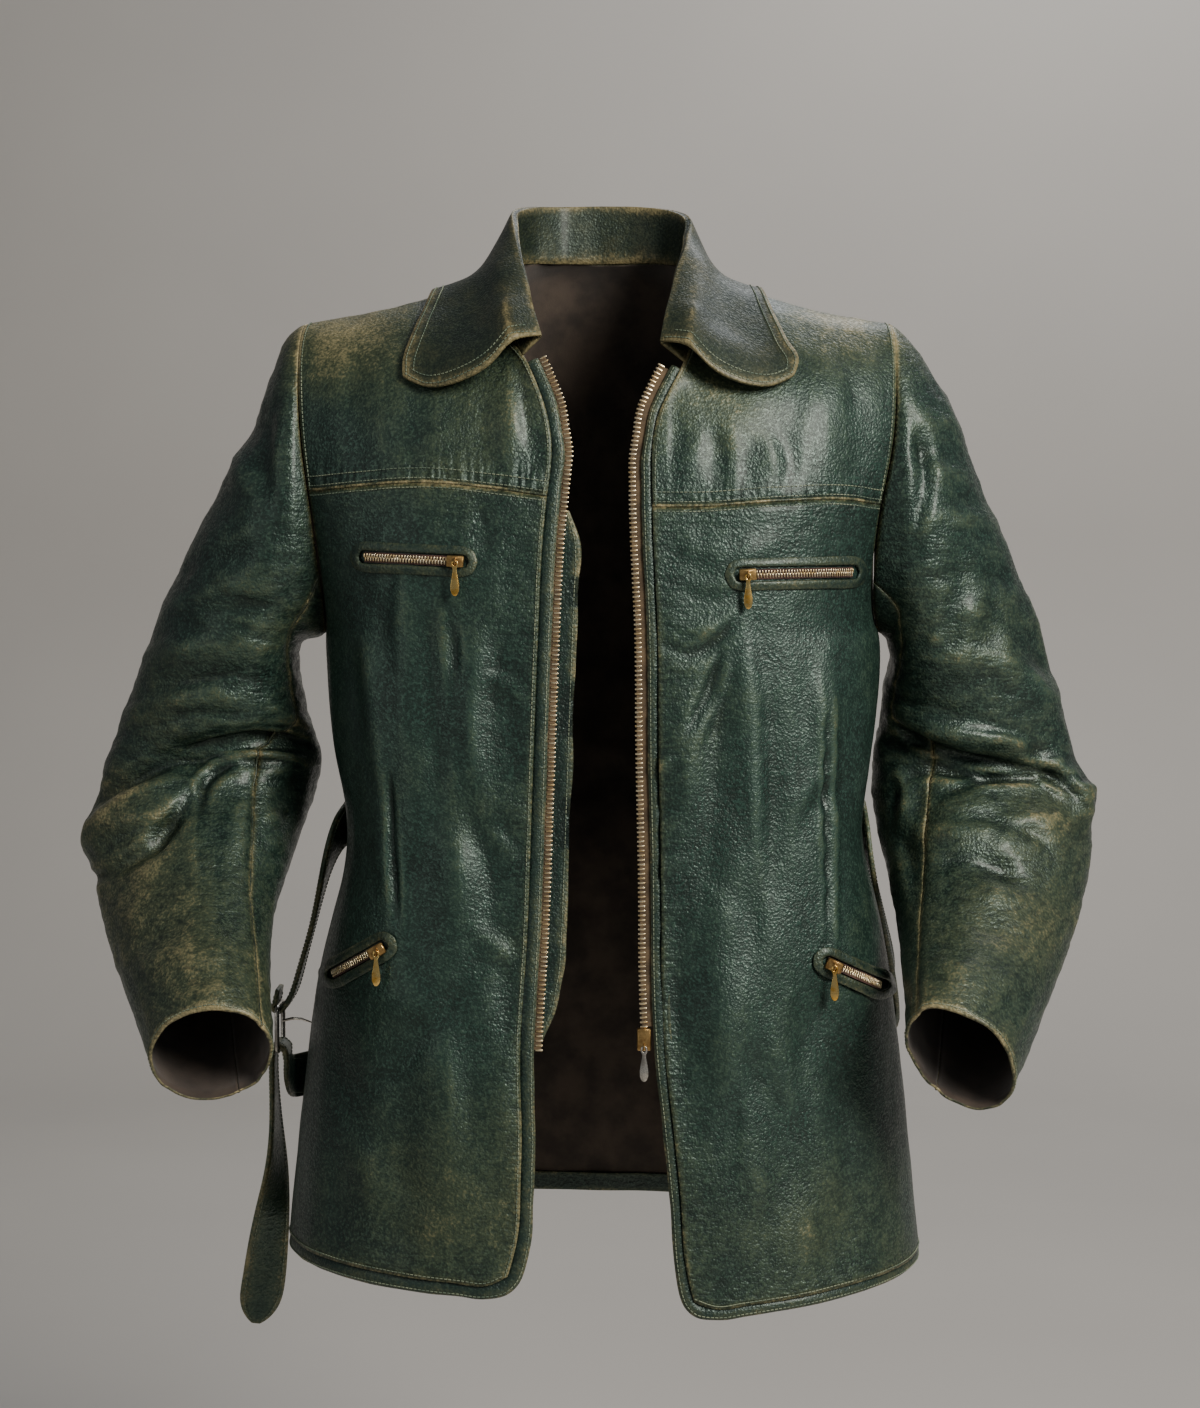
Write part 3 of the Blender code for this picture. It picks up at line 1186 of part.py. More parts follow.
def ribbon_sections(stations, across, width, thick):
    """Sections of a strap through its stations, with the given direction across it."""
    along = unit(np.gradient(stations, axis=0))
    across = unit(across - along * np.sum(across * along, axis=1, keepdims=True))
    out = unit(np.cross(along, across))
    half = across * np.broadcast_to(width, len(stations))[:, None] / 2
    rise = out * thick / 2
    return np.stack((stations - half - rise, stations + half - rise,
                     stations + half + rise, stations - half + rise), axis=1)


def stations_of(rows):
    """The middle points and across directions of a belt table."""
    middle = np.stack([rows[name] for name in "xyz"], axis=-1)
    across = np.stack([rows["across_" + name] for name in "xyz"], axis=-1) / MM
    return middle, across


def belt():
    """The strap: from the buckle up to the waist, round the back, and slung back again."""
    bar = np.array(FRAME_MIDDLE) * MM + (0, 0, FRAME_HALF[1] * MM)
    turn_radius = FRAME_WIRE * MM + AIR + BELT_THICK / 2
    wrap = [bar + turn_radius * np.array((math.cos(turn), 0, math.sin(turn)))
            for turn in np.radians(np.linspace(130, 330, 7))]
    end = wrap[0] + np.array((0.2, 0, 1)) * 10 * MM
    fold = np.array([end] + wrap)
    right, right_across = stations_of(BELT_RIGHT)
    waist_turns = np.linspace(-82, 82, 15)
    waist = [torso_point(turn, (BELT_STAND + BELT_THICK / 2) / MM, -BELT_HEIGHT / MM)[0]
             for turn in waist_turns]
    left, left_across = stations_of(BELT_LEFT)
    behind = [torso_point(around, stand, down)[0] for around, stand, down in
              zip(*(BELT_BEHIND[name] / MM for name in ("around", "stand", "down")))]
    inside, inside_across = stations_of(BELT_INTO_FRAME)
    foot = np.array(FRAME_MIDDLE) * MM - (0, 0, FRAME_HALF[1] * MM)
    over = [foot + (turn_radius + 0.8 * MM) * np.array((math.cos(turn), 0, math.sin(turn)))
            for turn in np.radians((15, 55, 100, 145, 180))]
    tail, tail_across = stations_of(TAIL)
    upright, level = (0, 0, 1), (0, -1, 0)
    pieces = [(fold, [level] * len(fold)), (right, right_across),
              (waist, [upright] * len(waist)), (left, left_across),
              (behind, [(0, 0, -1)] * len(behind)), (inside, inside_across),
              (over, [level] * len(over)), (tail, tail_across)]
    middle = np.vstack([piece for piece, _ in pieces])
    across = np.vstack([directions for _, directions in pieces])
    width = np.full(len(middle), BELT_WIDTH)
    width[-3:] = (BELT_WIDTH * 0.94, BELT_WIDTH * 0.62, BELT_WIDTH * 0.2)
    sections = ribbon_sections(middle, across, width, BELT_THICK)
    start = len(fold) + len(right)
    near = slice(start - 3, start + len(waist) + len(left) + len(behind))
    outs = unit((middle[near] - BELT_AXIS) * (1, 1, 0))
    sections[near] = raised(sections[near], outs, body, 1.0 * MM, False)
    strip_mesh("belt", sections, "leather")


def belt_loop(side, name):
    """A strap loop at the side seam that the belt passes through."""
    top, bottom = BELT_HEIGHT + LOOP_HEIGHT / 2, BELT_HEIGHT - LOOP_HEIGHT / 2
    clear = (BELT_STAND + BELT_THICK + LOOP_ROOM) / MM
    profile = table("height stand", (0, 0.5), (3, 0.7), (6, clear), (25, clear + 0.6),
                    (44, clear), (47, 0.7), (50, 0.5))
    around = 74 * side
    stations = []
    for height, stand in zip(profile["height"] / MM, profile["stand"] / MM):
        down = -(bottom + (top - bottom) * height / 50) / MM
        point, _ = torso_point(around, stand + 0.6 + STRIP_LEATHER / 2 / MM, down)
        stations.append(point)
    _, out = torso_point(around, 0, -BELT_HEIGHT / MM)
    across = np.tile(np.cross(out, (0, 0, 1)), (len(stations), 1))
    stations = np.array(stations)
    sections = ribbon_sections(stations, across, LOOP_WIDTH, STRIP_LEATHER)
    sections = raised(sections, np.tile(out, (len(stations), 1)), back_surface, AIR, False)
    strip_mesh(name, sections, "leather")


def wire(name, points, radius, cyclic, material):
    """A round wire along its points."""
    path = bpy.data.curves.new(name, "CURVE")
    path.dimensions = "3D"
    path.bevel_depth = radius
    path.bevel_resolution = 2
    path.use_fill_caps = True
    line = path.splines.new("POLY")
    line.points.add(len(points) - 1)
    line.use_cyclic_u = cyclic
    for point, place in zip(line.points, points):
        point.co = (*place, 1)
    made = bpy.data.objects.new(name, path)
    path.materials.append(materials[material])
    coat.objects.link(made)
    return made


def buckle():
    """The frame, seen on edge from the front, and its prong, swung towards the coat."""
    middle = np.array(FRAME_MIDDLE) * MM
    half_y, half_z = np.array(FRAME_HALF) * MM + (FRAME_WIRE * MM + 0.6 * MM, 0)
    radius = 5 * MM
    frame = []
    for quarter, (sign_y, sign_z) in enumerate(((1, 1), (-1, 1), (-1, -1), (1, -1))):
        for turn in np.radians(np.array((0, 30, 60, 90)) + 90 * quarter):
            frame.append(middle + (0, sign_y * (half_y - radius) + radius * math.cos(turn),
                                   sign_z * (half_z - radius) + radius * math.sin(turn)))
    wire("buckle_frame", frame, FRAME_WIRE * MM, True, "nickel")
    hinge = middle + np.array((0.3, -half_y / MM + 2.6, 7.0)) * MM
    sections = []
    for step, rise, thick in ((3.6, 0, 1.1), (11, 1.6, 1.2), (18, 1.4, 1.1), (26, -1.4, 0.7)):
        turns = np.radians(np.arange(0, 360, 60))[:, None]
        ring = np.cos(turns) * (0, 1, 0) + np.sin(turns) * (0, 0, 1)
        sections.append(hinge + (np.array((step, 0, rise)) + ring * thick) * MM)
    strip_mesh("buckle_prong", np.array(sections), "nickel")


# ---------------------------------------------------------------- the coat

def make_material(name):
    """A plain material with the finish of its name."""
    colour, roughness, metallic = COLOURS[name]
    made = bpy.data.materials.new(name)
    made.use_nodes = True
    shader = made.node_tree.nodes["Principled BSDF"]
    shader.inputs["Base Color"].default_value = colour
    shader.inputs["Roughness"].default_value = roughness
    shader.inputs["Metallic"].default_value = metallic
    return made


def surface_of(*grids):
    """A searchable surface through the outer sides of the given grids."""
    points, faces = [], []
    for grid in grids:
        rows, cols = grid.shape[:2]
        index = np.arange(rows * cols).reshape(rows, cols) + len(points)
        points += [Vector(point) for point in grid.reshape(-1, 3)]
        for row in range(rows - 1):
            for col in range(cols - 1):
                faces.append([int(index[row + down, col + right])
                              for down, right in ((0, 0), (1, 0), (1, 1), (0, 1))])
    return BVHTree.FromPolygons(points, faces)


def facing_out(grid, centre):
    """The grid with its columns turned round if its normals point towards the centre."""
    normals = grid_normals(grid)
    outward = np.sum(normals * (grid - centre), axis=-1).mean()
    return grid if outward > 0 else grid[:, ::-1]


for old in list(bpy.data.objects):
    bpy.data.objects.remove(old)
coat = bpy.data.collections.new("motoring_coat")
cutters = bpy.data.collections.new("cutters")
for group in (coat, cutters):
    bpy.context.scene.collection.children.link(group)
materials = {name: make_material(name) for name in COLOURS}

fronts = {side: front_panel(side) for side in (RIGHT, LEFT)}
yokes = {side: yoke_panel(side, fronts[side][0]) for side in (RIGHT, LEFT)}
back = back_panel()
fronts = {side: fold_body(grid) for side, grid in fronts.items()}
yokes = {side: fold_body(grid) for side, grid in yokes.items()}
back = fold_body(back)
sleeves = {side: sleeve(side, armhole_loop(yokes[side], fronts[side], back, side))
           for side in (RIGHT, LEFT)}

TORSO_AXIS = np.array((0, 0, -300)) * MM
pieces = {"back": facing_out(back, TORSO_AXIS)}
for side, word in ((RIGHT, "right"), (LEFT, "left")):
    pieces["front_" + word] = facing_out(fronts[side], TORSO_AXIS)
    pieces["yoke_" + word] = facing_out(yokes[side], TORSO_AXIS)
piece_normals = {name: grid_normals(grid) for name, grid in pieces.items()}
for side, word in ((RIGHT, "right"), (LEFT, "left")):
    whole = sleeves[side]
    square = grid_normals(whole, closed=True)
    middles = whole.mean(axis=1, keepdims=True)
    if np.sum(square * (whole - middles), axis=-1).mean() < 0:
        square = -square
    under = slice(FRONT_SEAM_POINT, BACK_SEAM_POINT + 1)
    order = list(range(BACK_SEAM_POINT, RING_POINTS)) + list(range(FRONT_SEAM_POINT + 1))
    pieces["sleeve_under_" + word] = whole[:, under]
    piece_normals["sleeve_under_" + word] = square[:, under]
    pieces["sleeve_top_" + word] = whole[:, order]
    piece_normals["sleeve_top_" + word] = square[:, order]

# The stand of the collar shares the neckline, so the walls are mitred with it
neck_right = yokes[RIGHT][YOKE_ROWS - NECK_ROWS:, 0]
neck_left = yokes[LEFT][YOKE_ROWS - NECK_ROWS:, 0]
neck_back = back[-1, SHOULDER_COLUMNS:SHOULDER_COLUMNS + BACK_NECK_COLUMNS + 1]
neck = np.vstack((neck_right, neck_back[1:-1], neck_left[::-1]))
neck_middle = np.array((0, -10, 0)) * MM
stand_out = unit((neck - neck_middle) * (1, 1, 0))
neck_rim = {"stand": np.array([neck, neck + (0, 0, 20 * MM)])}
neck_rim_normals = {"stand": np.array([stand_out, stand_out])}
walls = walls_of({**pieces, **neck_rim}, {**piece_normals, **neck_rim_normals})
for word in ("right", "left"):
    for skin in walls["yoke_" + word]:
        skin[-1, 1::2] = (skin[-1, :-1:2] + skin[-1, 2::2]) / 2
for name in pieces:
    wall_mesh(name, *walls[name], "leather")

body = surface_of(pieces["yoke_right"], pieces["yoke_left"], pieces["back"],
                  pieces["front_right"], pieces["front_left"])
fronts_surface = surface_of(pieces["yoke_right"], pieces["yoke_left"],
                            pieces["front_right"], pieces["front_left"])
back_surface = surface_of(pieces["back"])

stand_rim = [with_middles(side[0]) for side in walls["stand"]]
collar_face, collar_under = collar(*stand_rim)
wall_mesh("collar", collar_face, collar_under, "leather")

edge_line = {side: np.vstack((yokes[side][YOKE_ROWS - NECK_ROWS:0:-1, 0], fronts[side][:, 0]))
             for side in (RIGHT, LEFT)}
back_band()
for side, word in ((RIGHT, "right"), (LEFT, "left")):
    down_the_edge = front_frames(side)
    front_band(side, "band_" + word, down_the_edge)
    main_zip(side, "zip_" + word, down_the_edge)
    if side == RIGHT:
        wind_flap(down_the_edge)
    else:
        pull_axes = {"main": main_slider(down_the_edge)}

for name, pocket in POCKETS.items():
    pocket_out = pocket_outward(pocket)
    welt("welt_" + name, pocket, pocket_out)
    zip_bar = pocket_zip("zip_" + name, pocket, pocket_out)
    pull_axes[name] = pocket_slider(name, pocket, pocket_out, zip_bar)

belt()
belt_loop(RIGHT, "belt_loop_right")
belt_loop(LEFT, "belt_loop_left")
buckle()
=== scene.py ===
# %% [markdown]
# # A motoring coat of bottle green leather
# The imported CAD model gives every piece of the coat its size and place. This file gives
# the coat its looks: smooth leather shells with creases, seams and stitches, zips with
# separate teeth, worn metal, and a camera where the photographer stood. Each step says
# what the real thing is, how it could be made in Blender, and why this way was chosen.

# %% Load the frame, with a helper for a part's box
import math

import bmesh
import bpy
import numpy as np
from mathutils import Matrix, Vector, noise
from mathutils.bvhtree import BVHTree
from mathutils.kdtree import KDTree


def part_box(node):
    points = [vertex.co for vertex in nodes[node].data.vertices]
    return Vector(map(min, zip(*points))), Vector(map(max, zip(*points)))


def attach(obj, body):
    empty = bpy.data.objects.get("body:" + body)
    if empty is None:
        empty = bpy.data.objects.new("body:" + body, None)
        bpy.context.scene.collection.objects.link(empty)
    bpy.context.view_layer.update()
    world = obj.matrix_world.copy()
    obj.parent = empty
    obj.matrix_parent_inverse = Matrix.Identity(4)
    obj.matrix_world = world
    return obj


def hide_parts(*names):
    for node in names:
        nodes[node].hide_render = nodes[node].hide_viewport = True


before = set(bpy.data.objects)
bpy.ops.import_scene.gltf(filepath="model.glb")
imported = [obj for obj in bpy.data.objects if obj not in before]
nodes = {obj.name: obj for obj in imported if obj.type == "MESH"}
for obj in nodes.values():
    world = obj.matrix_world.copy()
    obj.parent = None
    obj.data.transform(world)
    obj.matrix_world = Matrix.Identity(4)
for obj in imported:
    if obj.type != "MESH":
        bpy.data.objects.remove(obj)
bpy.context.view_layer.update()
MM = 0.001
SIDES = ("right", "left")
POCKETS = ("chest_right", "chest_left", "hip_right", "hip_left")

# %% [markdown]
# ## The camera
# The photograph was taken from chest height, a little over two metres away, with the
# camera tipped down very slightly. Distances that were "as seen" in it are measured on
# the plane through the shoulders, in millimetres across and down from their middle, so
# one small function turns a place on the coat into those two numbers.

# %% Camera and the seen plane
EYE = Vector((1.5, -2100, -226.5)) * MM
TIPPED_DOWN = math.radians(2.05)
LENS_MM = 71.1


def add_camera():
    """The camera at the photograph's place, tipped down a little."""
    camera = bpy.data.objects.new("camera", bpy.data.cameras.new("camera"))
    camera.data.lens = LENS_MM
    camera.location = EYE
    camera.rotation_euler = (math.pi / 2 - TIPPED_DOWN, 0, 0)
    bpy.context.collection.objects.link(camera)
    bpy.context.scene.camera = camera


def seen(points):
    """Across and down, in millimetres, of points as the camera sees them."""
    nearness = -EYE.y / (points[:, 1] - EYE.y)
    across = points[:, 0] * nearness
    down = -EYE.z - (points[:, 2] - EYE.z) * nearness
    return np.stack((across, down), axis=1) / MM


add_camera()
print("camera height below the shoulders: %.0f mm" % (-EYE.z / MM))

# %% [markdown]
# ## The studio
# A pale floor that sweeps up into a pale wall, one broad soft light high on the right
# of the picture, a weak one on the left, a strip behind the shoulder and one on the
# wall. An image of a real studio could light it too, but four lights are easy to move.
# The broad light gives leather its long soft highlights. None of it is the coat's.

# %% Floor, wall and lights
FLOOR_Z = -1.25
WALL_Y = 4.8
SWEEP = 1.2
SWEEP_STEPS = 12
WALL_RISE = 3
FLOOR_WIDE, FLOOR_DEEP = 16, 8


def deselect_all():
    """Nothing selected, in object mode."""
    for ob in bpy.context.selected_objects:
        ob.select_set(False)


def linear(code):
    """An sRGB hex colour as linear red, green, blue and alpha."""
    parts = [int(code[i:i + 2], 16) / 255 for i in (1, 3, 5)]
    return [p / 12.92 if p <= 0.04045 else ((p + 0.055) / 1.055) ** 2.4 for p in parts] + [1]


COLOUR_A, COLOUR_B, COLOUR_OUT = 6, 7, 2


def add(material, kind, settings=None, links=None):
    """One shader node with its settings and with links to its inputs."""
    node = material.node_tree.nodes.new(kind)
    for key, value in (settings or {}).items():
        if isinstance(key, int) or key in node.inputs:
            node.inputs[key].default_value = value
        else:
            setattr(node, key, value)
    for key, source in (links or {}).items():
        material.node_tree.links.new(source, node.inputs[key])
    return node


def new_material(name):
    """A node material that holds only its output, and that output."""
    material = bpy.data.materials.new(name)
    material.use_nodes = True
    material.node_tree.nodes.clear()
    return material, add(material, "ShaderNodeOutputMaterial")


def finish_shader(material, output, settings, links):
    """Joins a Principled shader to the output."""
    shader = add(material, "ShaderNodeBsdfPrincipled", settings, links)
    material.node_tree.links.new(shader.outputs[0], output.inputs["Surface"])
    return material


def painted_board():
    """Matt paint on the studio's floor and wall, with a hardly seen mottle."""
    material, output = new_material("matt_studio_paint")
    place = add(material, "ShaderNodeTexCoord")
    mottle = add(material, "ShaderNodeTexNoise", {"Scale": 1.3, "Detail": 3.0},
                 {"Vector": place.outputs["Object"]})
    colour = add(material, "ShaderNodeMix",
                 {"data_type": "RGBA", COLOUR_A: linear("#b9b5b0"),
                  COLOUR_B: linear("#c6c2bc")}, {"Factor": mottle.outputs["Fac"]})
    return finish_shader(material, output, {"Roughness": 0.9},
                         {"Base Color": colour.outputs[COLOUR_OUT]})


def add_studio():
    """A floor that sweeps up into a wall."""
    deselect_all()
    bpy.ops.mesh.primitive_plane_add(size=1)
    board = bpy.context.object
    board.name = "studio_floor"
    bpy.ops.object.mode_set(mode="EDIT")
    bpy.ops.mesh.select_all(action="SELECT")
    bpy.ops.transform.resize(value=(FLOOR_WIDE, FLOOR_DEEP, 1))
    back = WALL_Y - SWEEP
    bpy.ops.transform.translate(value=(0, back - FLOOR_DEEP / 2, FLOOR_Z))
    bpy.ops.object.mode_set(mode="OBJECT")
    # Only the far edge is selected, and it is drawn up into the wall in short steps.
    for edge in board.data.edges:
        edge.select = all(board.data.vertices[v].co.y > back - 0.01 for v in edge.vertices)
    for vertex in board.data.vertices:
        vertex.select = vertex.co.y > back - 0.01
    board.data.polygons[0].select = False
    bpy.ops.object.mode_set(mode="EDIT")
    for step in range(SWEEP_STEPS):
        turn = math.pi / 2 * (step + 0.5) / SWEEP_STEPS
        run = SWEEP * math.pi / 2 / SWEEP_STEPS
        bpy.ops.mesh.extrude_region_move(TRANSFORM_OT_translate={
            "value": (0, run * math.cos(turn), run * math.sin(turn))})
    bpy.ops.mesh.extrude_region_move(TRANSFORM_OT_translate={"value": (0, 0, WALL_RISE)})
    bpy.ops.object.mode_set(mode="OBJECT")
    for polygon in board.data.polygons:
        polygon.use_smooth = True
    board.data.materials.append(painted_board())


def add_light(name, place, target, size, power, colour):
    """A soft square light that faces a point."""
    light = bpy.data.lights.new(name, "AREA")
    light.shape = "RECTANGLE"
    light.size, light.size_y = size
    light.energy = power
    light.color = linear(colour)[:3]
    ob = bpy.data.objects.new(name, light)
    ob.location = place
    ob.rotation_euler = (Vector(target) - Vector(place)).to_track_quat("-Z", "Y").to_euler()
    bpy.context.collection.objects.link(ob)


add_studio()
add_light("key", (1.5, -1.9, 1.0), (0.05, 0, -0.35), (0.9, 1.2), 112, "#fff8ef")
add_light("fill", (-2.0, -1.7, 0.3), (0, 0, -0.3), (1.4, 1.8), 8, "#f3efe9")
add_light("top_back", (0.5, 1.2, 1.2), (0, 0, -0.1), (1.6, 0.6), 9, "#f6f8ff")
add_light("wall", (1.4, 2.8, 2.6), (0.6, 4.8, -0.4), (1.8, 0.6), 60, "#ffffff")
world = bpy.data.worlds.new("studio_air")
bpy.context.scene.world = world
world.use_nodes = True
world.node_tree.nodes["Background"].inputs["Color"].default_value = linear("#cfd3d6")
world.node_tree.nodes["Background"].inputs["Strength"].default_value = 0.26

# %% [markdown]
# ## Leather
# Coat leather here is drum-dyed sheepskin with a pigment coat: a dark bottle green skin
# with a fine pebbled grain, semi-gloss where it is rubbed, and tan where the colour has
# worn off its edges and ridges. One function makes every leather of the coat. The wear
# comes from an attribute that each shell carries, worked out from its own form, because
# wear follows edges and ridges and not a pattern in space. Light and shade are painted in
# too: a paler highlight on each convex crest, and painted shade in each trough and in the
# troughs of the fine creases. The real grain is under a millimetre; it is drawn at 1.7 mm
# so that the render can show it.
# Painted image textures could do the same, but these patterns fit any size of render.

# %% The leather material
GRAIN = 1.7 * MM
PATCH = 55 * MM
MOTTLE = 9 * MM
SPECK = 2.2 * MM
CROSS_CREASE = 11 * MM
PUCKER = 7 * MM
WRINKLE = 30 * MM
NAP = 1.6 * MM
# Size, detail, roughness and stretch of the patches, the mottle, the specks, the fine
# creases across a limb and the puckers at a gathered seam.
PATTERNS = (
    (PATCH, 1.0, 0.5, (1, 1, 1)),
    (MOTTLE, 2.0, 0.6, (1, 1, 1)),
    (SPECK, 1.0, 0.6, (1, 1, 1)),
    (CROSS_CREASE, 1.0, 0.62, (1, 1, 3.4)),
    (PUCKER, 0.0, 0.5, (1.7, 0.6, 0.28)),
)
WRINKLE_SLANT = (0.0, 0.62, 0.3)
WRINKLE_STRETCH = (1.0, 1.0, 2.1)


def leather(name, deep, green, lit, worn, rubbed, bare=0.0, creased=0.5, gloss=0.42):
    """Pigmented leather: patches of colour, worn specks, pebbled grain and fine creases,
    with a painted highlight on crests and painted shade in troughs and crease troughs.
    """
    material, output = new_material(name)
    place = add(material, "ShaderNodeTexCoord").outputs["Object"]
    wear, ridge, crease, gather = (
        add(material, "ShaderNodeAttribute", {"attribute_name": kept}).outputs["Fac"]
        for kept in ("wear", "ridge", "crease", "gather"))
    found = []
    for size, detail, rough, stretch in PATTERNS:
        mapped = add(material, "ShaderNodeMapping", {"Scale": stretch}, {"Vector": place})
        found.append(add(material, "ShaderNodeTexNoise",
                         {"Scale": 1 / size, "Detail": detail, "Roughness": rough},
                         {"Vector": mapped.outputs[0]}).outputs["Fac"])
    patches, mottle, specks, across, puckers = found
    slanted = add(material, "ShaderNodeMapping",
                  {"Rotation": WRINKLE_SLANT, "Scale": WRINKLE_STRETCH}, {"Vector": place})
    wrinkles = add(material, "ShaderNodeTexNoise",
                   {"noise_type": "RIDGED_MULTIFRACTAL", "Scale": 1 / WRINKLE, "Detail": 1.0},
                   {"Vector": slanted.outputs[0]}).outputs["Fac"]
    pebbles = add(material, "ShaderNodeTexVoronoi", {"feature": "F1", "Scale": 1 / GRAIN},
                  {"Vector": place}).outputs["Distance"]

    rubs = add(material, "ShaderNodeMath", {"operation": "ADD", 1: bare}, {0: wear})
    for pattern, weight in ((patches, 0.35), (mottle, 0.35), (specks, 0.55)):
        rubs = add(material, "ShaderNodeMath", {"operation": "MULTIPLY_ADD", 1: weight},
                   {0: pattern, 2: rubs.outputs[0]})
    # Each layer: where it shows, from and to which value, how weak, how strong, colour.
    layers = (
        (patches, 0.3, 0.6, 0.45, 1.0, green),
        (mottle, 0.35, 0.8, 0.0, 0.25, lit),
        (specks, 0.45, 0.72, 0.0, 0.62, lit),
        # The two ridge layers are painted light: a paler highlight on convex crests, and painted
        # shade of the deep colour in troughs.
        (ridge, 0.0, 0.9, 0.0, 0.55, lit),
        (ridge, 0.0, -0.8, 0.0, 0.6, deep),
        (rubs.outputs[0], 0.66, 1.25, 0.0, 0.75, worn),
        (rubs.outputs[0], 0.98, 1.5, 0.0, 1.0, rubbed))
    colour, shares = None, []
    for source, low, high, weak, strong, tint in layers:
        share = add(material, "ShaderNodeMapRange",
                    {"interpolation_type": "SMOOTHSTEP", "From Min": low, "From Max": high,
                     "To Min": weak, "To Max": strong}, {"Value": source})
        links = {"Factor": share.outputs[0]}
        if colour:
            links[COLOUR_A] = colour
        mix = add(material, "ShaderNodeMix",
                  {"data_type": "RGBA", COLOUR_A: linear(deep), COLOUR_B: linear(tint)}, links)
        colour = mix.outputs[COLOUR_OUT]
        shares.append(share.outputs[0])
    soft_rub = shares[-2]
    # Painted shade: the troughs of the fine cross creases are darkened towards the deep colour, as
    # far as the crease value allows.
    shade = add(material, "ShaderNodeMapRange",
                {"interpolation_type": "SMOOTHSTEP", "From Min": 0.46, "From Max": 0.34,
                 "To Max": 0.45}, {"Value": across})
    shade = add(material, "ShaderNodeMath", {"operation": "MULTIPLY"},
                {0: shade.outputs[0], 1: crease})
    colour = add(material, "ShaderNodeMix", {"data_type": "RGBA", COLOUR_B: linear(deep)},
                 {"Factor": shade.outputs[0], COLOUR_A: colour}).outputs[COLOUR_OUT]

    height = add(material, "ShaderNodeMath", {"operation": "MULTIPLY", 1: -0.42}, {0: pebbles})
    folds = add(material, "ShaderNodeMath", {"operation": "MULTIPLY"}, {0: across, 1: crease})
    tucks = add(material, "ShaderNodeMath", {"operation": "MULTIPLY"}, {0: puckers, 1: gather})
    for pattern, weight in ((folds.outputs[0], 1.6), (tucks.outputs[0], 6.5), (specks, 0.85),
                            (mottle, 0.18), (wrinkles, creased)):
        height = add(material, "ShaderNodeMath", {"operation": "MULTIPLY_ADD", 1: weight},
                     {0: pattern, 2: height.outputs[0]})
    bump = add(material, "ShaderNodeBump", {"Strength": 0.75, "Distance": 0.9 * MM},
               {"Height": height.outputs[0]})
    rough = add(material, "ShaderNodeMapRange",
                {"interpolation_type": "SMOOTHSTEP", "From Min": 0.35, "From Max": 0.7,
                 "To Min": gloss + 0.12, "To Max": gloss - 0.1}, {"Value": specks})
    rough = add(material, "ShaderNodeMath", {"operation": "MULTIPLY_ADD", 1: 0.16},
                {0: soft_rub, 2: rough.outputs[0]})
    return finish_shader(
        material, output,
        {"IOR": 1.5, "Coat Weight": 0.12, "Coat Roughness": 0.24, "Specular IOR Level": 0.5,
         "Specular Tint": linear("#cfe6dc")},
        {"Base Color": colour, "Roughness": rough.outputs[0], "Normal": bump.outputs[0]})


def clouded(material, place, size, detail, low, high, dark, light):
    """Two colours in soft clouds of about one size: the colour, and the clouds."""
    clouds = add(material, "ShaderNodeTexNoise",
                 {"Scale": 1 / size, "Detail": detail, "Roughness": 0.6}, {"Vector": place})
    share = add(material, "ShaderNodeMapRange",
                {"interpolation_type": "SMOOTHSTEP", "From Min": low, "From Max": high},
                {"Value": clouds.outputs["Fac"]})
    colour = add(material, "ShaderNodeMix",
                 {"data_type": "RGBA", COLOUR_A: linear(dark), COLOUR_B: linear(light)},
                 {"Factor": share.outputs[0]})
    return colour.outputs[COLOUR_OUT], clouds.outputs["Fac"]


def suede(name, dark, light):
    """The flesh side of the leather: matt and napped."""
    material, output = new_material(name)
    place = add(material, "ShaderNodeTexCoord").outputs["Object"]
    colour, _ = clouded(material, place, 30 * MM, 4.0, 0.3, 0.7, dark, light)
    nap = add(material, "ShaderNodeTexNoise",
              {"Scale": 1 / NAP, "Detail": 3.0, "Roughness": 0.7}, {"Vector": place})
    bump = add(material, "ShaderNodeBump", {"Strength": 0.5, "Distance": 0.3 * MM},
               {"Height": nap.outputs["Fac"]})
    return finish_shader(material, output, {"Roughness": 0.95, "Sheen Weight": 0.2},
                         {"Base Color": colour, "Normal": bump.outputs[0]})


# The body is satin, the sleeves are glossier and more creased, the handled collar is
# browner and matt, and the strips and the strap are darker with tan on their edges.
# The colours are deep, green, pale, worn and rubbed; the pale one is also the painted highlight on
# crests, and the deep one the painted shade in troughs and creases.
COAT = leather("drum_dyed_leather", "#060d0b", "#11201b", "#314a42", "#45492f", "#8d825f",
               0.02, 0.6, 0.39)
SLEEVE = leather("creased_sleeve_leather", "#060d0b", "#12211c", "#324b43", "#494b31",
                 "#8c815e", 0.08, 0.9, 0.37)
COLLAR = leather("handled_collar_leather", "#070c08", "#121a12", "#28362a", "#3d3a24",
                 "#7d7250", 0.14, 0.5, 0.50)
TRIM = leather("rubbed_edge_leather", "#040908", "#0c1714", "#21352f", "#4a4b33",
               "#9a8d68", 0.0, 0.3, 0.38)
STRAP = leather("strap_leather", "#0a1411", "#16281f", "#2c4238", "#4b503a", "#8a7f5c",
                0.02, 0.3, 0.36)
FLESH = suede("flesh_side_suede", "#2b2520", "#463c33")
print("leathers:", COAT.name, SLEEVE.name, COLLAR.name, TRIM.name, STRAP.name)

# %% [markdown]
# ## From CAD wall to leather shell
# A CAD wall has an outer skin, an inner skin and a rim, and is cut coarsely. Leather is
# smooth between its creases, so the outer skin is taken by itself, its triangles are
# joined to quads, and it is subdivided. Subdivision would pull the skin off the CAD
# form, so the cage is first moved out until the smooth skin passes through the cage's
# old corners. A Solidify modifier later gives the shell its 2 mm of leather.

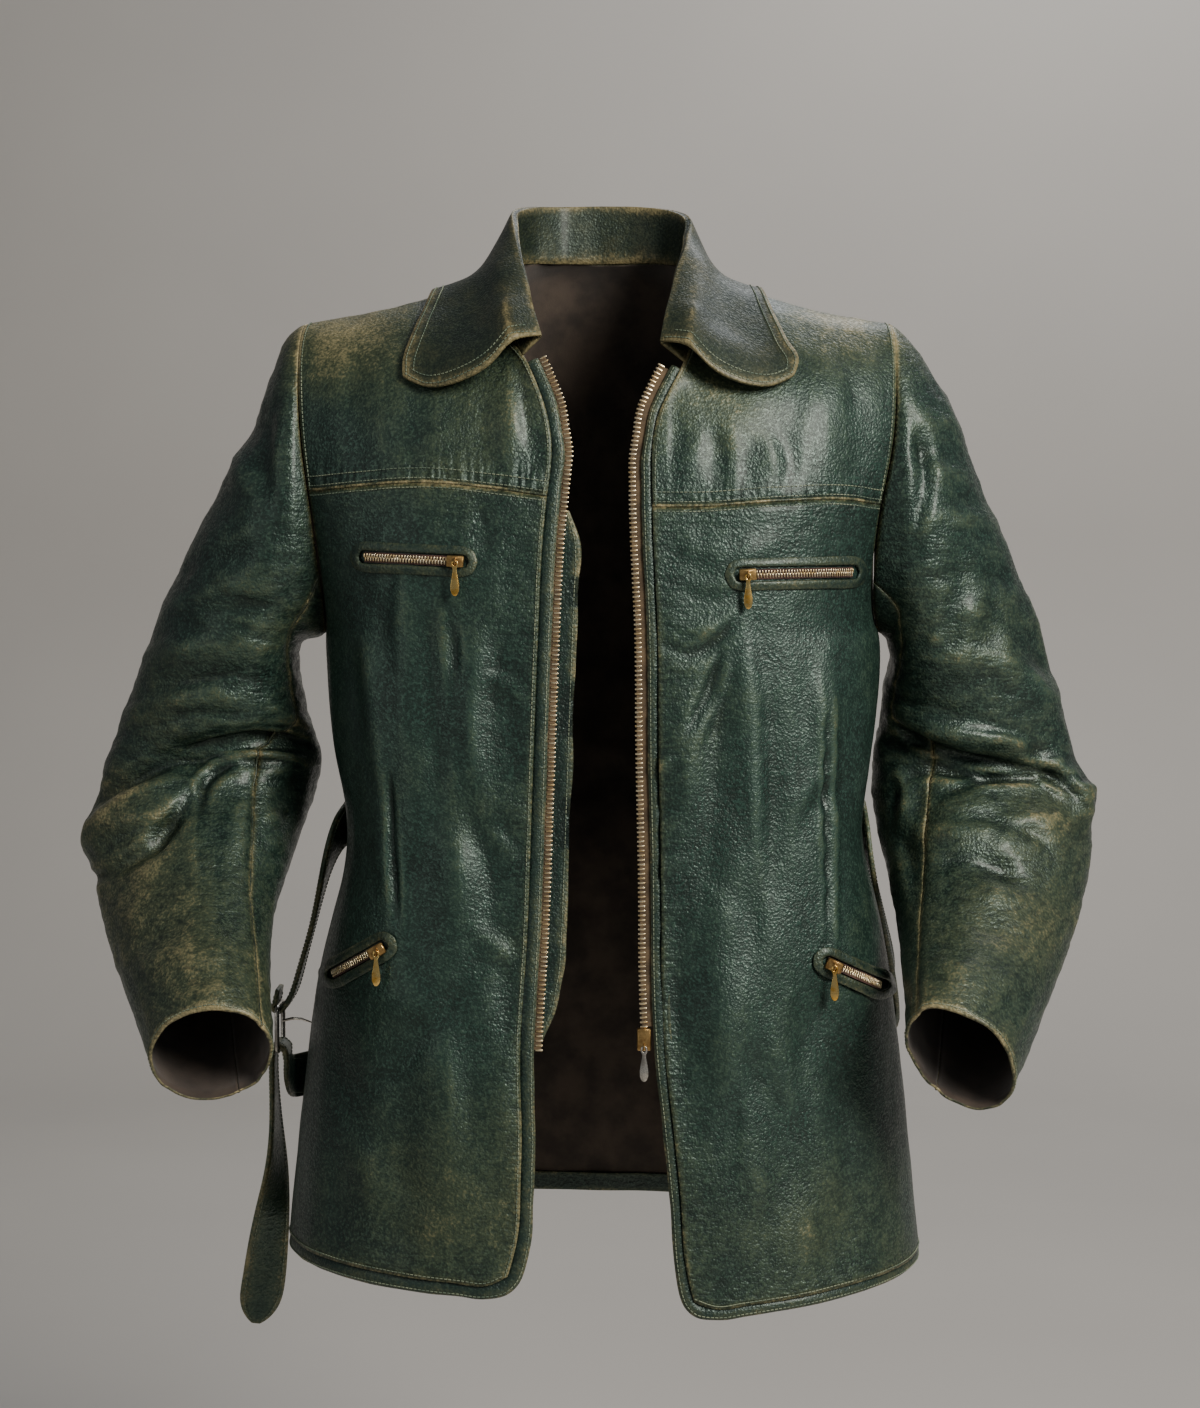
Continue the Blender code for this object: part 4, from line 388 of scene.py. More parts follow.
# %% Helpers that take a skin and smooth it
MERGE = 2e-6
RIM_EDGE = 3.2 * MM
LEATHER = 1.9 * MM
CAGE_ROUNDS, CAGE_STEP = 5, 0.9
SHELL_LEVELS = 3
SLEEVE_SLICE = 25 * MM
cages = {}


def coords(ob):
    """The mesh's points as an array."""
    values = np.empty(len(ob.data.vertices) * 3)
    ob.data.vertices.foreach_get("co", values)
    return values.reshape(-1, 3)


def set_coords(ob, points):
    """Moves the mesh's points."""
    ob.data.vertices.foreach_set("co", np.ascontiguousarray(points).ravel())
    ob.data.update()


def merged(node):
    """A bmesh of a CAD node with its loose triangles joined."""
    mesh = bmesh.new()
    mesh.from_mesh(nodes[node].data)
    bmesh.ops.remove_doubles(mesh, verts=mesh.verts, dist=MERGE)
    return mesh


def join_to_quads(mesh):
    """Joins pairs of triangles, the squarest pairs first."""
    for degrees in (40, 80, 179):
        bmesh.ops.join_triangles(mesh, faces=mesh.faces[:],
                                 angle_face_threshold=math.radians(degrees),
                                 angle_shape_threshold=math.radians(min(179, degrees + 40)))


def to_object(mesh, name):
    """A linked object from a bmesh."""
    data = bpy.data.meshes.new(name)
    mesh.to_mesh(data)
    mesh.free()
    ob = bpy.data.objects.new(name, data)
    bpy.context.collection.objects.link(ob)
    return ob


def linked(name, points, faces):
    """A linked object from points and faces."""
    data = bpy.data.meshes.new(name)
    data.from_pydata(points, [], faces)
    ob = bpy.data.objects.new(name, data)
    bpy.context.collection.objects.link(ob)
    return ob


def connected(mesh):
    """The sets of faces that hang together."""
    groups, seen_faces = [], set()
    for first in mesh.faces:
        if first in seen_faces:
            continue
        group, waiting = [], [first]
        seen_faces.add(first)
        while waiting:
            face = waiting.pop()
            group.append(face)
            near = {other for edge in face.edges for other in edge.link_faces}
            for other in near - seen_faces:
                seen_faces.add(other)
                waiting.append(other)
        groups.append(group)
    return groups


def outer_skin(node, name, middle_at):
    """The outer skin of a CAD wall, as quads."""
    mesh = merged(node)
    rim = {face for edge in mesh.edges if edge.calc_length() < RIM_EDGE
           for face in edge.link_faces}
    bmesh.ops.delete(mesh, geom=list(rim), context="FACES_ONLY")
    groups = connected(mesh)

    def outwardness(group):
        return sum(face.normal.dot(face.calc_center_median()
                                   - Vector(middle_at(face.calc_center_median())))
                   * face.calc_area() for face in group)

    keep = set(max(groups, key=outwardness))
    bmesh.ops.delete(mesh, geom=[f for f in mesh.faces if f not in keep], context="FACES")
    loose = [v for v in mesh.verts if not v.link_faces]
    bmesh.ops.delete(mesh, geom=loose, context="VERTS")
    return quads_of(mesh, name)

# %% [markdown]
# ## Rows and columns of a skin
# The joined triangles of a skin make a grid, but the joining leaves a few pairs wrong.
# Remeshing would lose the maker's edges. Walking in from two neighbouring sides gives
# each vertex its row and column, so the grid is found exactly.

# %% Find the grid
def boundary_loop(mesh):
    """The vertices round the edge of a skin, in order."""
    edge = next(e for e in mesh.edges if e.is_boundary)
    loop = [edge.verts[0], edge.verts[1]]
    while True:
        step = [e.other_vert(loop[-1]) for e in loop[-1].link_edges
                if e.is_boundary and e.other_vert(loop[-1]) is not loop[-2]][0]
        if step is loop[0]:
            return loop
        loop.append(step)


def steps_from(side):
    """How many edges each vertex is away from one side, as a list of sets."""
    levels, known = [set(side)], set(side)
    while True:
        near = {e.other_vert(v) for v in levels[-1] for e in v.link_edges} - known
        if not near:
            return levels
        levels.append(near)
        known |= near


def grid_of(mesh):
    """Rows and columns of vertices: along each edge they change by one at most, so the
    steps from two neighbouring sides of the skin are a vertex's row and column."""
    loop = boundary_loop(mesh)
    half, cells = len(loop) // 2, len(mesh.faces) // 2
    root = round(math.sqrt(half * half - 4 * cells))
    for long in ((half + root) // 2, (half - root) // 2):
        other = half - long
        for start in range(len(loop)):
            turned = loop[start:] + loop[:start]
            corners = (turned[0], turned[long], turned[long + other], turned[2 * long + other])
            if any(len(v.link_faces) > 2 for v in corners):
                continue
            rows = steps_from(turned[:long + 1])
            if [len(level) for level in rows] != [long + 1] * (other + 1):
                continue
            columns = steps_from(turned[long:long + other + 1])
            if [len(level) for level in columns] != [other + 1] * (long + 1):
                continue
            place = {v: c for c, level in enumerate(columns) for v in level}
            return [sorted(level, key=lambda v: place[v]) for level in rows]
    raise ValueError("the skin is no grid")


def quads_of(mesh, name):
    """The skin as an object made of quads, facing as it did."""
    grid = grid_of(mesh)
    number = {v: i for i, v in enumerate(v for row in grid for v in row)}
    faces = [[number[v] for v in (grid[r][c], grid[r + 1][c], grid[r + 1][c + 1],
                                  grid[r][c + 1])]
             for r in range(len(grid) - 1) for c in range(len(grid[0]) - 1)]
    points = [v.co.copy() for v in number]
    cages[name.replace("_leather", "")] = np.array([[v.co for v in row] for row in grid])
    ob = linked(name, points, faces)
    if ob.data.polygons[0].normal.dot(grid[0][0].link_faces[0].normal) < 0:
        ob.data.clear_geometry()
        ob.data.from_pydata(points, [], [face[::-1] for face in faces])
    mesh.free()
    return ob

# %% [markdown]
# ## A smooth surface through the cage
# Subdivision rounds a cage and shrinks it. The cage is moved out again, a few times,
# until the smooth surface passes through the corners that the CAD model gave.

# %% Subdivide, and take the skins
def evaluated_coords(ob):
    """The points after the modifiers."""
    graph = bpy.context.evaluated_depsgraph_get()
    shown = ob.evaluated_get(graph).to_mesh()
    values = np.empty(len(shown.vertices) * 3)
    shown.vertices.foreach_get("co", values)
    return values.reshape(-1, 3)


def apply_modifiers(ob):
    """Applies all modifiers of an object."""
    deselect_all()
    ob.select_set(True)
    bpy.context.view_layer.objects.active = ob
    for modifier in list(ob.modifiers):
        bpy.ops.object.modifier_apply(modifier=modifier.name)


def smooth_through(ob, levels):
    """Subdivides a mesh so that the smooth surface passes through its old corners."""
    modifier = ob.modifiers.new("Subdivision", "SUBSURF")
    modifier.levels = modifier.render_levels = 1
    modifier.boundary_smooth = "PRESERVE_CORNERS"
    target = coords(ob)
    cage = target.copy()
    for _ in range(CAGE_ROUNDS):
        bpy.context.view_layer.update()
        cage += CAGE_STEP * (target - evaluated_coords(ob)[:len(target)])
        set_coords(ob, cage)
    modifier.levels = modifier.render_levels = levels
    apply_modifiers(ob)
    for polygon in ob.data.polygons:
        polygon.use_smooth = True


def body_middle(point):
    """The middle of the trunk at a point's height."""
    return (0, 0, point.z)


def sleeve_middle(side):
    """A function that gives the middle of a sleeve at a point's height."""
    points = np.vstack([coords(nodes["%s_%s" % (part, side)])
                        for part in ("sleeve_top", "sleeve_under")])

    def middle(point):
        near = points[np.abs(points[:, 2] - point.z) < SLEEVE_SLICE]
        return near.mean(axis=0)

    return middle


SHELLS = {"back": body_middle}
for side in SIDES:
    SHELLS["yoke_" + side] = body_middle
    SHELLS["front_" + side] = body_middle
    SHELLS["sleeve_top_" + side] = sleeve_middle(side)
    SHELLS["sleeve_under_" + side] = sleeve_middle(side)

shells = {}
for node, middle_at in SHELLS.items():
    shell = outer_skin(node, node + "_leather", middle_at)
    smooth_through(shell, SHELL_LEVELS)
    shells[node] = shell
    print(node, len(shell.data.polygons), "faces")

# %% [markdown]
# ## Creases
# A leather coat creases where the arm bends, where the waist nips in and where a seam
# holds the skin back. Each fold here is listed along a short curve, in
# millimetres as seen, with its own height and width. A trough has a soft shoulder on
# each side, because the leather that it takes in pushes up beside it.

# %% Folds, and how they move a shell
FRONT_FOLDS = """
-146 192 -150 300 -140 412  2.2 9
-126 236 -122 320 -118 372 -2.0 8
-98 248 -92 330 -86 398  2.6 10
-112 226 -108 262 -110 296 -1.6 4
-64 188 -82 330 -96 418 -2.4 12
-118 388 -106 452 -128 545  4.0 15
-84 392 -74 470 -66 560 -2.6 14
-148 520 -122 560 -110 640  2.4 14
-172 596 -140 560 -104 520 -2.4 12
-60 540 -72 600 -64 660  1.8 12
-196 560 -166 640 -120 690 -2.0 14
-200 244 -188 300 -184 372 -3.0 12
-176 236 -170 300 -164 360  2.4 9
-90 150 -84 172 -86 190 -1.4 7
-160 196 -120 206 -84 204  0.9 5
46 250 74 262 104 236 -2.0 5
52 236 82 246 108 224  1.3 5
60 282 66 360 54 430  2.8 14
84 262 92 350 80 452 -2.4 12
112 246 118 330 122 398  2.2 10
128 300 130 370 134 470 -1.6 8
92 452 104 520 92 610  4.2 18
66 470 62 540 74 640 -2.2 12
150 408 170 372 196 360 -1.8 8
142 430 128 520 150 610  2.6 15
168 520 152 600 166 690 -2.6 14
112 560 136 640 128 712 -2.4 14
198 300 188 352 186 400 -2.4 10
176 250 170 300 172 352  2.2 9
120 92 132 118 128 142  1.4 9
172 290 173 386 175 486 -3.4 2.6
178 290 179 386 181 486  1.3 4
-158 356 -156 412 -153 470 -3.2 2.6
-164 356 -162 412 -159 470  1.2 4
34 372 46 352 62 340  2.2 5
32 398 46 384 66 374 -1.8 5
36 440 48 428 70 420  2.0 5
34 480 46 470 64 466 -1.6 5
92 262 80 296 66 322 -2.2 3.4
100 270 88 306 72 336  1.4 4
-58 300 -70 286 -88 280  1.6 6
-56 420 -68 400 -84 390 -1.8 6
-62 500 -76 486 -94 470  2.0 7
84 92 92 116 90 140 -1.4 8
58 172 96 190 140 178  1.2 9
62 214 92 222 118 210 -1.1 6
"""
YOKE_FOLDS = """
-58 40 -54 78 -48 128 -0.99 6
-68 44 -66 84 -66 132 1.28 7
-92 62 -92 98 -96 136 -0.66 9
-150 40 -152 84 -150 134 1.12 12
-182 34 -186 80 -180 132 -0.99 9
-120 40 -122 84 -118 128 0.96 12
60 52 58 92 56 140 -0.77 6
96 52 100 96 96 146 1.2 13
128 40 136 92 132 144 -0.66 12
166 32 176 84 170 140 1.28 12
190 40 196 90 192 142 -0.88 9
"""
SLEEVE_FOLDS = """
-222 330 -262 326 -312 336 -2.6 3.5
-216 322 -262 312 -330 330  1.6 8
-230 346 -286 350 -300 382 -2.2 4
-306 356 -332 386 -388 392  2.4 9
-312 372 -344 412 -392 436 -3.2 5
-262 362 -272 410 -262 470  1.4 10
-334 402 -330 440 -352 490 -1.4 12
-226 352 -232 372 -232 398 -1.8 7
-250 262 -300 256 -352 272  1.4 10
-244 286 -296 282 -356 300 -1.3 8
-238 236 -272 226 -322 238 -1.2 8
-244 306 -300 300 -366 320  1.1 7
-262 180 -292 196 -334 210 -1.2 10
-258 140 -286 132 -312 150  1.2 11
-240 100 -262 92 -288 110 -1.2 9
-238 70 -252 110 -246 160 -1.8 7
-296 446 -330 470 -364 478 -1.3 8
-272 480 -312 500 -350 502  1.2 9
-262 520 -296 530 -330 528 -1.2 8
-258 548 -286 556 -312 552  1.0 7
224 318 262 338 330 352 -3.0 4
218 300 266 322 332 330  1.8 8
236 356 268 352 300 362 -2.2 6
262 376 312 366 384 366  2.4 6
332 352 346 360 362 372 -2.4 4
244 398 288 400 330 418  1.3 7
282 386 318 394 344 412 -1.8 5
262 420 300 424 330 442 -1.6 6
252 440 296 446 346 462  1.6 7
256 464 300 470 350 490 -1.3 7
250 240 296 232 336 250  1.5 9
252 262 300 256 348 282 -1.4 8
246 210 286 202 320 214 -1.3 8
236 170 268 160 306 172  1.2 10
232 120 252 112 286 124 -1.3 9
232 78 246 118 240 170 -2.0 7
224 396 236 420 240 452 -1.6 7
252 500 290 504 334 520  1.2 9
254 528 288 536 326 544 -1.2 8
256 556 284 560 312 566  1.0 7
226 352 232 372 226 396  1.4 5
"""
BACK_FOLDS = """
-150 90 -120 150 -130 230  2.4 14
150 84 122 150 134 236  2.2 14
-186 120 -170 190 -176 262 -2.4 12
186 116 172 186 178 258 -2.4 12
-60 200 -72 300 -56 392 -2.0 16
64 190 58 290 74 392 -2.2 16
-150 330 -90 352 -30 344 -2.2 8
-20 330 60 352 140 336 -2.4 9
-132 372 -60 380 10 366  2.2 10
20 372 90 384 168 370  2.0 10
-120 404 -124 500 -140 600  3.0 20
-40 410 -34 520 -52 640 -3.0 20
52 410 60 520 46 630  3.0 22
136 410 128 510 150 620 -2.8 18
-170 300 -140 322 -100 330  1.6 8
168 296 140 318 96 330  1.6 8
"""

# %% [markdown]
# ## How a fold moves a shell
# Sculpting by hand could make these folds, but it can't be rerun. A fold here is a
# ridge or trough along a curve: wider on one side, thinner towards its ends and uneven
# along its length, with a low shoulder on each side. A shell is moved along its normals.

# %% Fold shapes and mesh helpers
SAMPLES = 36
FACING = 1.6
RELAX_BODY, RELAX_SLEEVE = 50, 3
BODY_SWELL, BODY_FINE = 1.3 * MM, 0.5 * MM
SLEEVE_SWELL, SLEEVE_FINE = 1.0 * MM, 0.9 * MM
SLEEVE_BOLDNESS = 2.1
SWELL_SIZE, FINE_SIZE = 46 * MM, 15 * MM
# The camera sees the sleeves, which hang forward, this much lower than they are.
SEEN_LOWER = 16


def fold_table(text):
    """Rows of numbers: the start, middle and end of a fold, its height and its width."""
    return [[float(word) for word in line.split()] for line in text.split("\n") if line.strip()]


def bend_through(start, middle, end, count):
    """Points on a smooth curve through three points."""
    steer = 2 * middle - (start + end) / 2
    t = np.linspace(0, 1, count)[:, None]
    return (1 - t) ** 2 * start + 2 * t * (1 - t) * steer + t ** 2 * end


def fold_heights(plane, rows):
    """How far the folds raise points that lie on a flat plane, in metres."""
    total = np.zeros(len(plane))
    for index, (a0, d0, a1, d1, a2, d2, height, width) in enumerate(rows):
        line = bend_through(*(np.array(p) for p in ((a0, d0), (a1, d1), (a2, d2))), SAMPLES)
        reach = 3.2 * width
        near = np.all((plane > line.min(axis=0) - reach) & (plane < line.max(axis=0) + reach),
                      axis=1)
        if not near.any():
            continue
        gap = plane[near][:, None, :] - line[None]
        square = np.sum(gap ** 2, axis=2)
        nearest = np.argmin(square, axis=1)
        distance = np.sqrt(square[np.arange(len(nearest)), nearest])
        along = nearest / (SAMPLES - 1)
        tangent = np.gradient(line, axis=0)[nearest]
        step = gap[np.arange(len(nearest)), nearest]
        side = np.sign(tangent[:, 0] * step[:, 1] - tangent[:, 1] * step[:, 0])
        # One side is wider than the other, and the middle is wider than the ends.
        own = width * (1 + 0.25 * side * (1 if index % 2 else -1))
        own = own * (0.75 + 0.35 * np.sin(math.pi * along))
        # The height fades towards the ends and wavers along the way.
        taper = np.sin(math.pi * np.clip(along * 0.92 + 0.04, 0, 1)) ** 0.8
        taper = taper * (1 + 0.28 * np.sin(9.1 * along + index))
        # The leather beside a ridge is drawn down a little, and beside a trough up.
        crest = np.exp(-(distance / own) ** 2)
        shoulder = np.exp(-((distance - 1.9 * own) / (0.9 * own)) ** 2)
        total[near] += height * MM * taper * (crest - 0.30 * shoulder)
    return total


def normals_of(ob):
    """The smooth normal at each point."""
    values = np.empty(len(ob.data.vertices) * 3)
    ob.data.vertex_normals.foreach_get("vector", values)
    return values.reshape(-1, 3)


def waves(points, size, seed):
    """Soft uneven swells of about one size, from -1 to 1."""
    shift = Vector((seed * 7.3, seed * 3.1, seed * 5.7))
    return np.array([noise.noise(Vector(p) / size + shift) for p in points])


def edges_of(ob):
    """The mesh's edges as pairs of points."""
    values = np.empty(len(ob.data.edges) * 2, dtype=np.int64)
    ob.data.edges.foreach_get("vertices", values)
    return values.reshape(-1, 2)


def blurred(values, pairs, rounds):
    """Each value averaged with its neighbours' a few times."""
    count = np.bincount(pairs.ravel(), minlength=len(values)).astype(float)
    for _ in range(rounds):
        total = np.bincount(pairs[:, 0], values[pairs[:, 1]], len(values))
        total += np.bincount(pairs[:, 1], values[pairs[:, 0]], len(values))
        values = 0.5 * values + 0.5 * total / np.maximum(count, 1)
    return values


def ridge_of(ob):
    """How convex the surface is at each point: about 1 on a sharp ridge, -1 in a trough."""
    points, normals, pairs = coords(ob), normals_of(ob), edges_of(ob)
    step = points[pairs[:, 1]] - points[pairs[:, 0]]
    turn = normals[pairs[:, 1]] - normals[pairs[:, 0]]
    bend = np.sum(step * turn, axis=1) / np.maximum(np.sum(step ** 2, axis=1), 1e-9)
    count = np.bincount(pairs.ravel(), minlength=len(points)).astype(float)
    total = np.bincount(pairs[:, 0], bend, len(points))
    total += np.bincount(pairs[:, 1], bend, len(points))
    return np.clip(blurred(total / count, pairs, 3) * SHARP_RIDGE, -1, 1)


def boundary_points(ob):
    """The points on the open edge of a skin."""
    used = {}
    for polygon in ob.data.polygons:
        for key in polygon.edge_keys:
            used[key] = used.get(key, 0) + 1
    return np.array(sorted({v for key, n in used.items() if n == 1 for v in key}))


def tree_of(points):
    """A search tree of points."""
    tree = KDTree(len(points))
    for index, point in enumerate(points):
        tree.insert(point, index)
    tree.balance()
    return tree


def distance_to(points, tree):
    """How far each point is from the nearest one in a tree."""
    return np.array([tree.find(point)[2] for point in points])


def store(ob, name, values):
    """Keeps one number for each point, for the material."""
    attribute = ob.data.attributes.get(name) or ob.data.attributes.new(name, "FLOAT", "POINT")
    attribute.data.foreach_set("value", np.ascontiguousarray(values, dtype=np.float32))

# %% [markdown]
# ## Creasing each shell
# The fine skins are first evened out. Then folds and soft swells are added, fading out
# towards the armholes, so that a sleeve and a front still meet there.

# %% Crease the shells
SHARP_RIDGE = 16 * MM
ARMHOLE_FADE = 26 * MM
SEAM_GAP = 1.6 * MM
BODY_PARTS = ["back"] + [p + s for p in ("yoke_", "front_") for s in SIDES]
SLEEVE_PARTS = [p + s for p in ("sleeve_top_", "sleeve_under_") for s in SIDES]
borders = {name: boundary_points(ob) for name, ob in shells.items()}
border_trees = {name: tree_of(coords(shells[name])[borders[name]]) for name in shells}
armhole_lines = {side: [] for side in SIDES}
for name in SLEEVE_PARTS:
    points = coords(shells[name])[borders[name]]
    for other in BODY_PARTS:
        near = points[distance_to(points, border_trees[other]) < SEAM_GAP]
        armhole_lines[name.split("_")[-1]].append(near)
armhole_lines = {side: np.vstack(lines) for side, lines in armhole_lines.items()}
armholes = tree_of(np.vstack(list(armhole_lines.values())))


def relax(name, rounds):
    """Evens out the cage's faint rows, with the open edges held."""
    ob = shells[name]
    points, pairs = coords(ob), edges_of(ob)
    held = points[borders[name]].copy()
    for _ in range(rounds):
        points = np.stack([blurred(points[:, k], pairs, 1) for k in range(3)], axis=1)
        points[borders[name]] = held
    set_coords(ob, points)


def crease(name):
    """Moves one shell's points by its folds and by soft swells."""
    body = name in BODY_PARTS
    relax(name, RELAX_BODY if body else RELAX_SLEEVE)
    ob = shells[name]
    points, normals = coords(ob), normals_of(ob)
    rows = fold_table(FRONT_FOLDS) + fold_table(YOKE_FOLDS) if body else fold_table(SLEEVE_FOLDS)
    front = np.clip(0.5 - FACING * normals[:, 1], 0, 1)
    move = (1.0 if body else SLEEVE_BOLDNESS) * fold_heights(seen(points), rows) * front
    flat_back = np.stack((points[:, 0], -points[:, 2]), axis=1) / MM
    if not body:
        flat_back[:, 1] += SEEN_LOWER
    rows = fold_table(BACK_FOLDS if name == "back" else SLEEVE_FOLDS)
    move += fold_heights(flat_back, rows) * np.clip(0.5 + FACING * normals[:, 1], 0, 1)
    stretched = points * (1, 1, 0.45) if body else points * (1, 1, 2.1)
    move += (BODY_SWELL if body else SLEEVE_SWELL) * waves(stretched, SWELL_SIZE, 1)
    move += (BODY_FINE if body else SLEEVE_FINE) * waves(stretched, FINE_SIZE, 2)
    fade = np.clip(distance_to(points, armholes) / ARMHOLE_FADE, 0, 1)
    move *= fade * fade * (3 - 2 * fade)
    set_coords(ob, points + normals * move[:, None])


for name in shells:
    crease(name)
print("folds placed:", sum(len(fold_table(t)) for t in (FRONT_FOLDS, YOKE_FOLDS,
                                                        SLEEVE_FOLDS, BACK_FOLDS)))

# %% [markdown]
# ## Seams and wear on the shells
# At a seam the leather turns under, so each skin dips a little towards its seams, and
# the colour is rubbed off the edge that stands up. Where two skins nearly touch, their
# edge points are a seam; the other edge points are free edges, such as the hem.

# %% Seams, free edges and wear
DIP, DIP_REACH = 0.9 * MM, 3.0 * MM
SEAM_REACH = 2.4 * MM
PUCKER_REACH = 26 * MM
GATHER_REACH = 15 * MM
# Across and down as seen, the radius in millimetres and how much colour is lost.
WORN_SPOTS = """
-200 20 46 0.42
-150 -4 50 0.30
196 14 44 0.36
150 -6 50 0.26
-352 450 60 0.30
-300 520 60 0.20
-330 300 40 0.10
340 380 50 0.16
310 470 70 0.22
300 250 40 0.10
-130 690 80 0.22
180 690 60 0.20
-70 60 40 0.20
80 60 40 0.26
120 96 40 0.14
-110 110 60 0.16
-372 372 30 0.25
-60 690 50 0.12
100 712 70 0.12
"""


def seam_split(name):
    """A skin's edge points, as those on a seam and those on a free edge."""
    points = coords(shells[name])[borders[name]]
    gap = np.full(len(points), 1.0)
    for other in shells:
        if other != name:
            gap = np.minimum(gap, distance_to(points, border_trees[other]))
    on_seam = gap < SEAM_REACH
    return points[on_seam], points[~on_seam]


border_trees = {name: tree_of(coords(shells[name])[borders[name]]) for name in shells}
seams, free = {}, {}
for name in shells:
    seams[name], free[name] = seam_split(name)
free_tree = tree_of(np.vstack([points for points in free.values() if len(points)]))
yoke_lines = tree_of(np.vstack([seams["front_" + s] for s in SIDES]))

opening_tree = tree_of(np.vstack([coords(shells["front_" + side])[borders["front_" + side]]
                                  for side in SIDES]))


def wear_and_dip(name):
    """Stores wear, ridges, creases and gathers for the material, and dips the seams."""
    ob = shells[name]
    points, normals = coords(ob), normals_of(ob)
    to_seam = distance_to(points, tree_of(seams[name]))
    to_free = distance_to(points, free_tree)
    ridge = ridge_of(ob)
    wear = 0.36 * np.exp(-(to_seam / (2.2 * MM)) ** 2) + 0.26 * np.exp(-(to_free / (3 * MM)) ** 2)
    wear += 0.12 * np.exp(-to_free / (20 * MM)) + 0.06 * np.exp(-to_seam / (14 * MM))
    plane = seen(points)
    for across, down, reach, amount in fold_table(WORN_SPOTS):
        square = (plane[:, 0] - across) ** 2 + (plane[:, 1] - down) ** 2
        wear += amount * np.exp(-square / reach ** 2)
    wear += 0.30 * np.clip(ridge, 0, 1)
    store(ob, "wear", wear)
    # The ridge value paints a highlight on crests and shade in troughs in the leather's colour.
    store(ob, "ridge", ridge)
    sleeve = name in SLEEVE_PARTS
    puckered = 0.9 * np.exp(-(distance_to(points, opening_tree) / PUCKER_REACH) ** 2)
    # The crease value sets the painted shade in the fine creases as well as their bump.
    store(ob, "crease", 0.85 * np.ones(len(points)) if sleeve else 0.10 + puckered)
    gather = np.zeros(len(points))
    if name.startswith("yoke"):
        strength = 1.0 if name.endswith("right") else 0.45
        gather = strength * np.exp(-(distance_to(points, yoke_lines) / GATHER_REACH) ** 2)
    store(ob, "gather", gather)
    dip = DIP * np.exp(-(to_seam / DIP_REACH) ** 2)
    set_coords(ob, points - normals * dip[:, None])


for name in shells:
    wear_and_dip(name)

# %% [markdown]
# ## Giving the shells their thickness
# Garment leather is one to two millimetres thick. Solidify adds it on the inside, so
# the outside stays where the folds put it, and gives the inside the flesh side's suede.

# %% Solidify and materials
SHELL_MATERIAL = {name: SLEEVE if name in SLEEVE_PARTS else COAT for name in shells}


def thicken(ob, material, thickness=LEATHER):
    """Adds leather on the inside of a skin, with its flesh side in suede."""
    ob.data.materials.append(material)
    ob.data.materials.append(FLESH)
    ob.data.materials.append(TRIM)
    modifier = ob.modifiers.new("Solidify", "SOLIDIFY")
    modifier.thickness = thickness
    modifier.offset = -1
    modifier.material_offset = 1
    modifier.material_offset_rim = 2
    apply_modifiers(ob)


skin_trees = {}
for name, ob in shells.items():
    skin_trees[name] = BVHTree.FromPolygons([v.co for v in ob.data.vertices],
                                            [p.vertices for p in ob.data.polygons])
    thicken(ob, SHELL_MATERIAL[name])
    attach(ob, "coat")
    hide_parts(name)

# %% [markdown]
# ## Strips, welts, collar and belt
# The bands, the wind flap, the pocket welts, the collar and the belt are closed CAD
# solids already. Each is copied, joined to quads and subdivided with its real corners
# kept fairly tight, so that cut leather edges stay crisp while the faces run smoothly.
# The bands are turned and stuffed by their seam, so their showing part is crowned.

# %% Rounded copies of the closed pieces
SHARP = math.radians(42)


def rounded(node, name, levels, tight, material, body="coat"):
    """A smooth copy of a closed CAD solid that keeps its sharp corners tight."""
    mesh = merged(node)
    join_to_quads(mesh)
    layer = mesh.edges.layers.float.new("crease_edge")
    for edge in mesh.edges:
        if len(edge.link_faces) == 2 and edge.calc_face_angle(0) > SHARP:
            edge[layer] = tight
    ob = to_object(mesh, name)
    smooth_through(ob, levels)
    ob.data.materials.append(material)
    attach(ob, body)
    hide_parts(node)
    return ob


def wear_by_edges(ob, sharp_points, reach, most, crease_share, base=0.0):
    """Stores the wear of a strip from its long edges and its ridges."""
    points = coords(ob)
    to_edge = distance_to(points, tree_of(sharp_points))
    ridge = ridge_of(ob)
    wear = base + most * np.exp(-(to_edge / reach) ** 2) + 0.25 * np.clip(ridge, 0, 1)
    store(ob, "wear", wear + 0.12 * waves(points, 14 * MM, 4))
    # The ridge value paints highlights on the strip's crests and shade in its hollows.
    store(ob, "ridge", ridge * 0.6)
    # The crease value also paints shade in the strip's fine creases.
    store(ob, "crease", np.full(len(points), crease_share))
    store(ob, "gather", np.zeros(len(points)))


def corner_points(node):
    """Points close together along the sharp edges of a CAD solid."""
    mesh = merged(node)
    found = []
    for edge in mesh.edges:
        if len(edge.link_faces) == 2 and edge.calc_face_angle(0) > SHARP:
            start, end = (v.co for v in edge.verts)
            count = max(2, int((end - start).length / (2 * MM)))
            found += [start.lerp(end, i / count) for i in range(count + 1)]
    mesh.free()
    return found


def swell_strip(ob, size, height, seed):
    """Soft uneven swells along a strip of leather."""
    points, normals = coords(ob), normals_of(ob)
    set_coords(ob, points + normals * (height * waves(points, size, seed))[:, None])

# %% [markdown]
# ## Following a strip
# Bands, the belt and the zips need rows of things set along them. The CAD strips are made of
# four-cornered cross-sections, so these are read back in order and turned into a middle
# line with directions along, across and out of the strip.

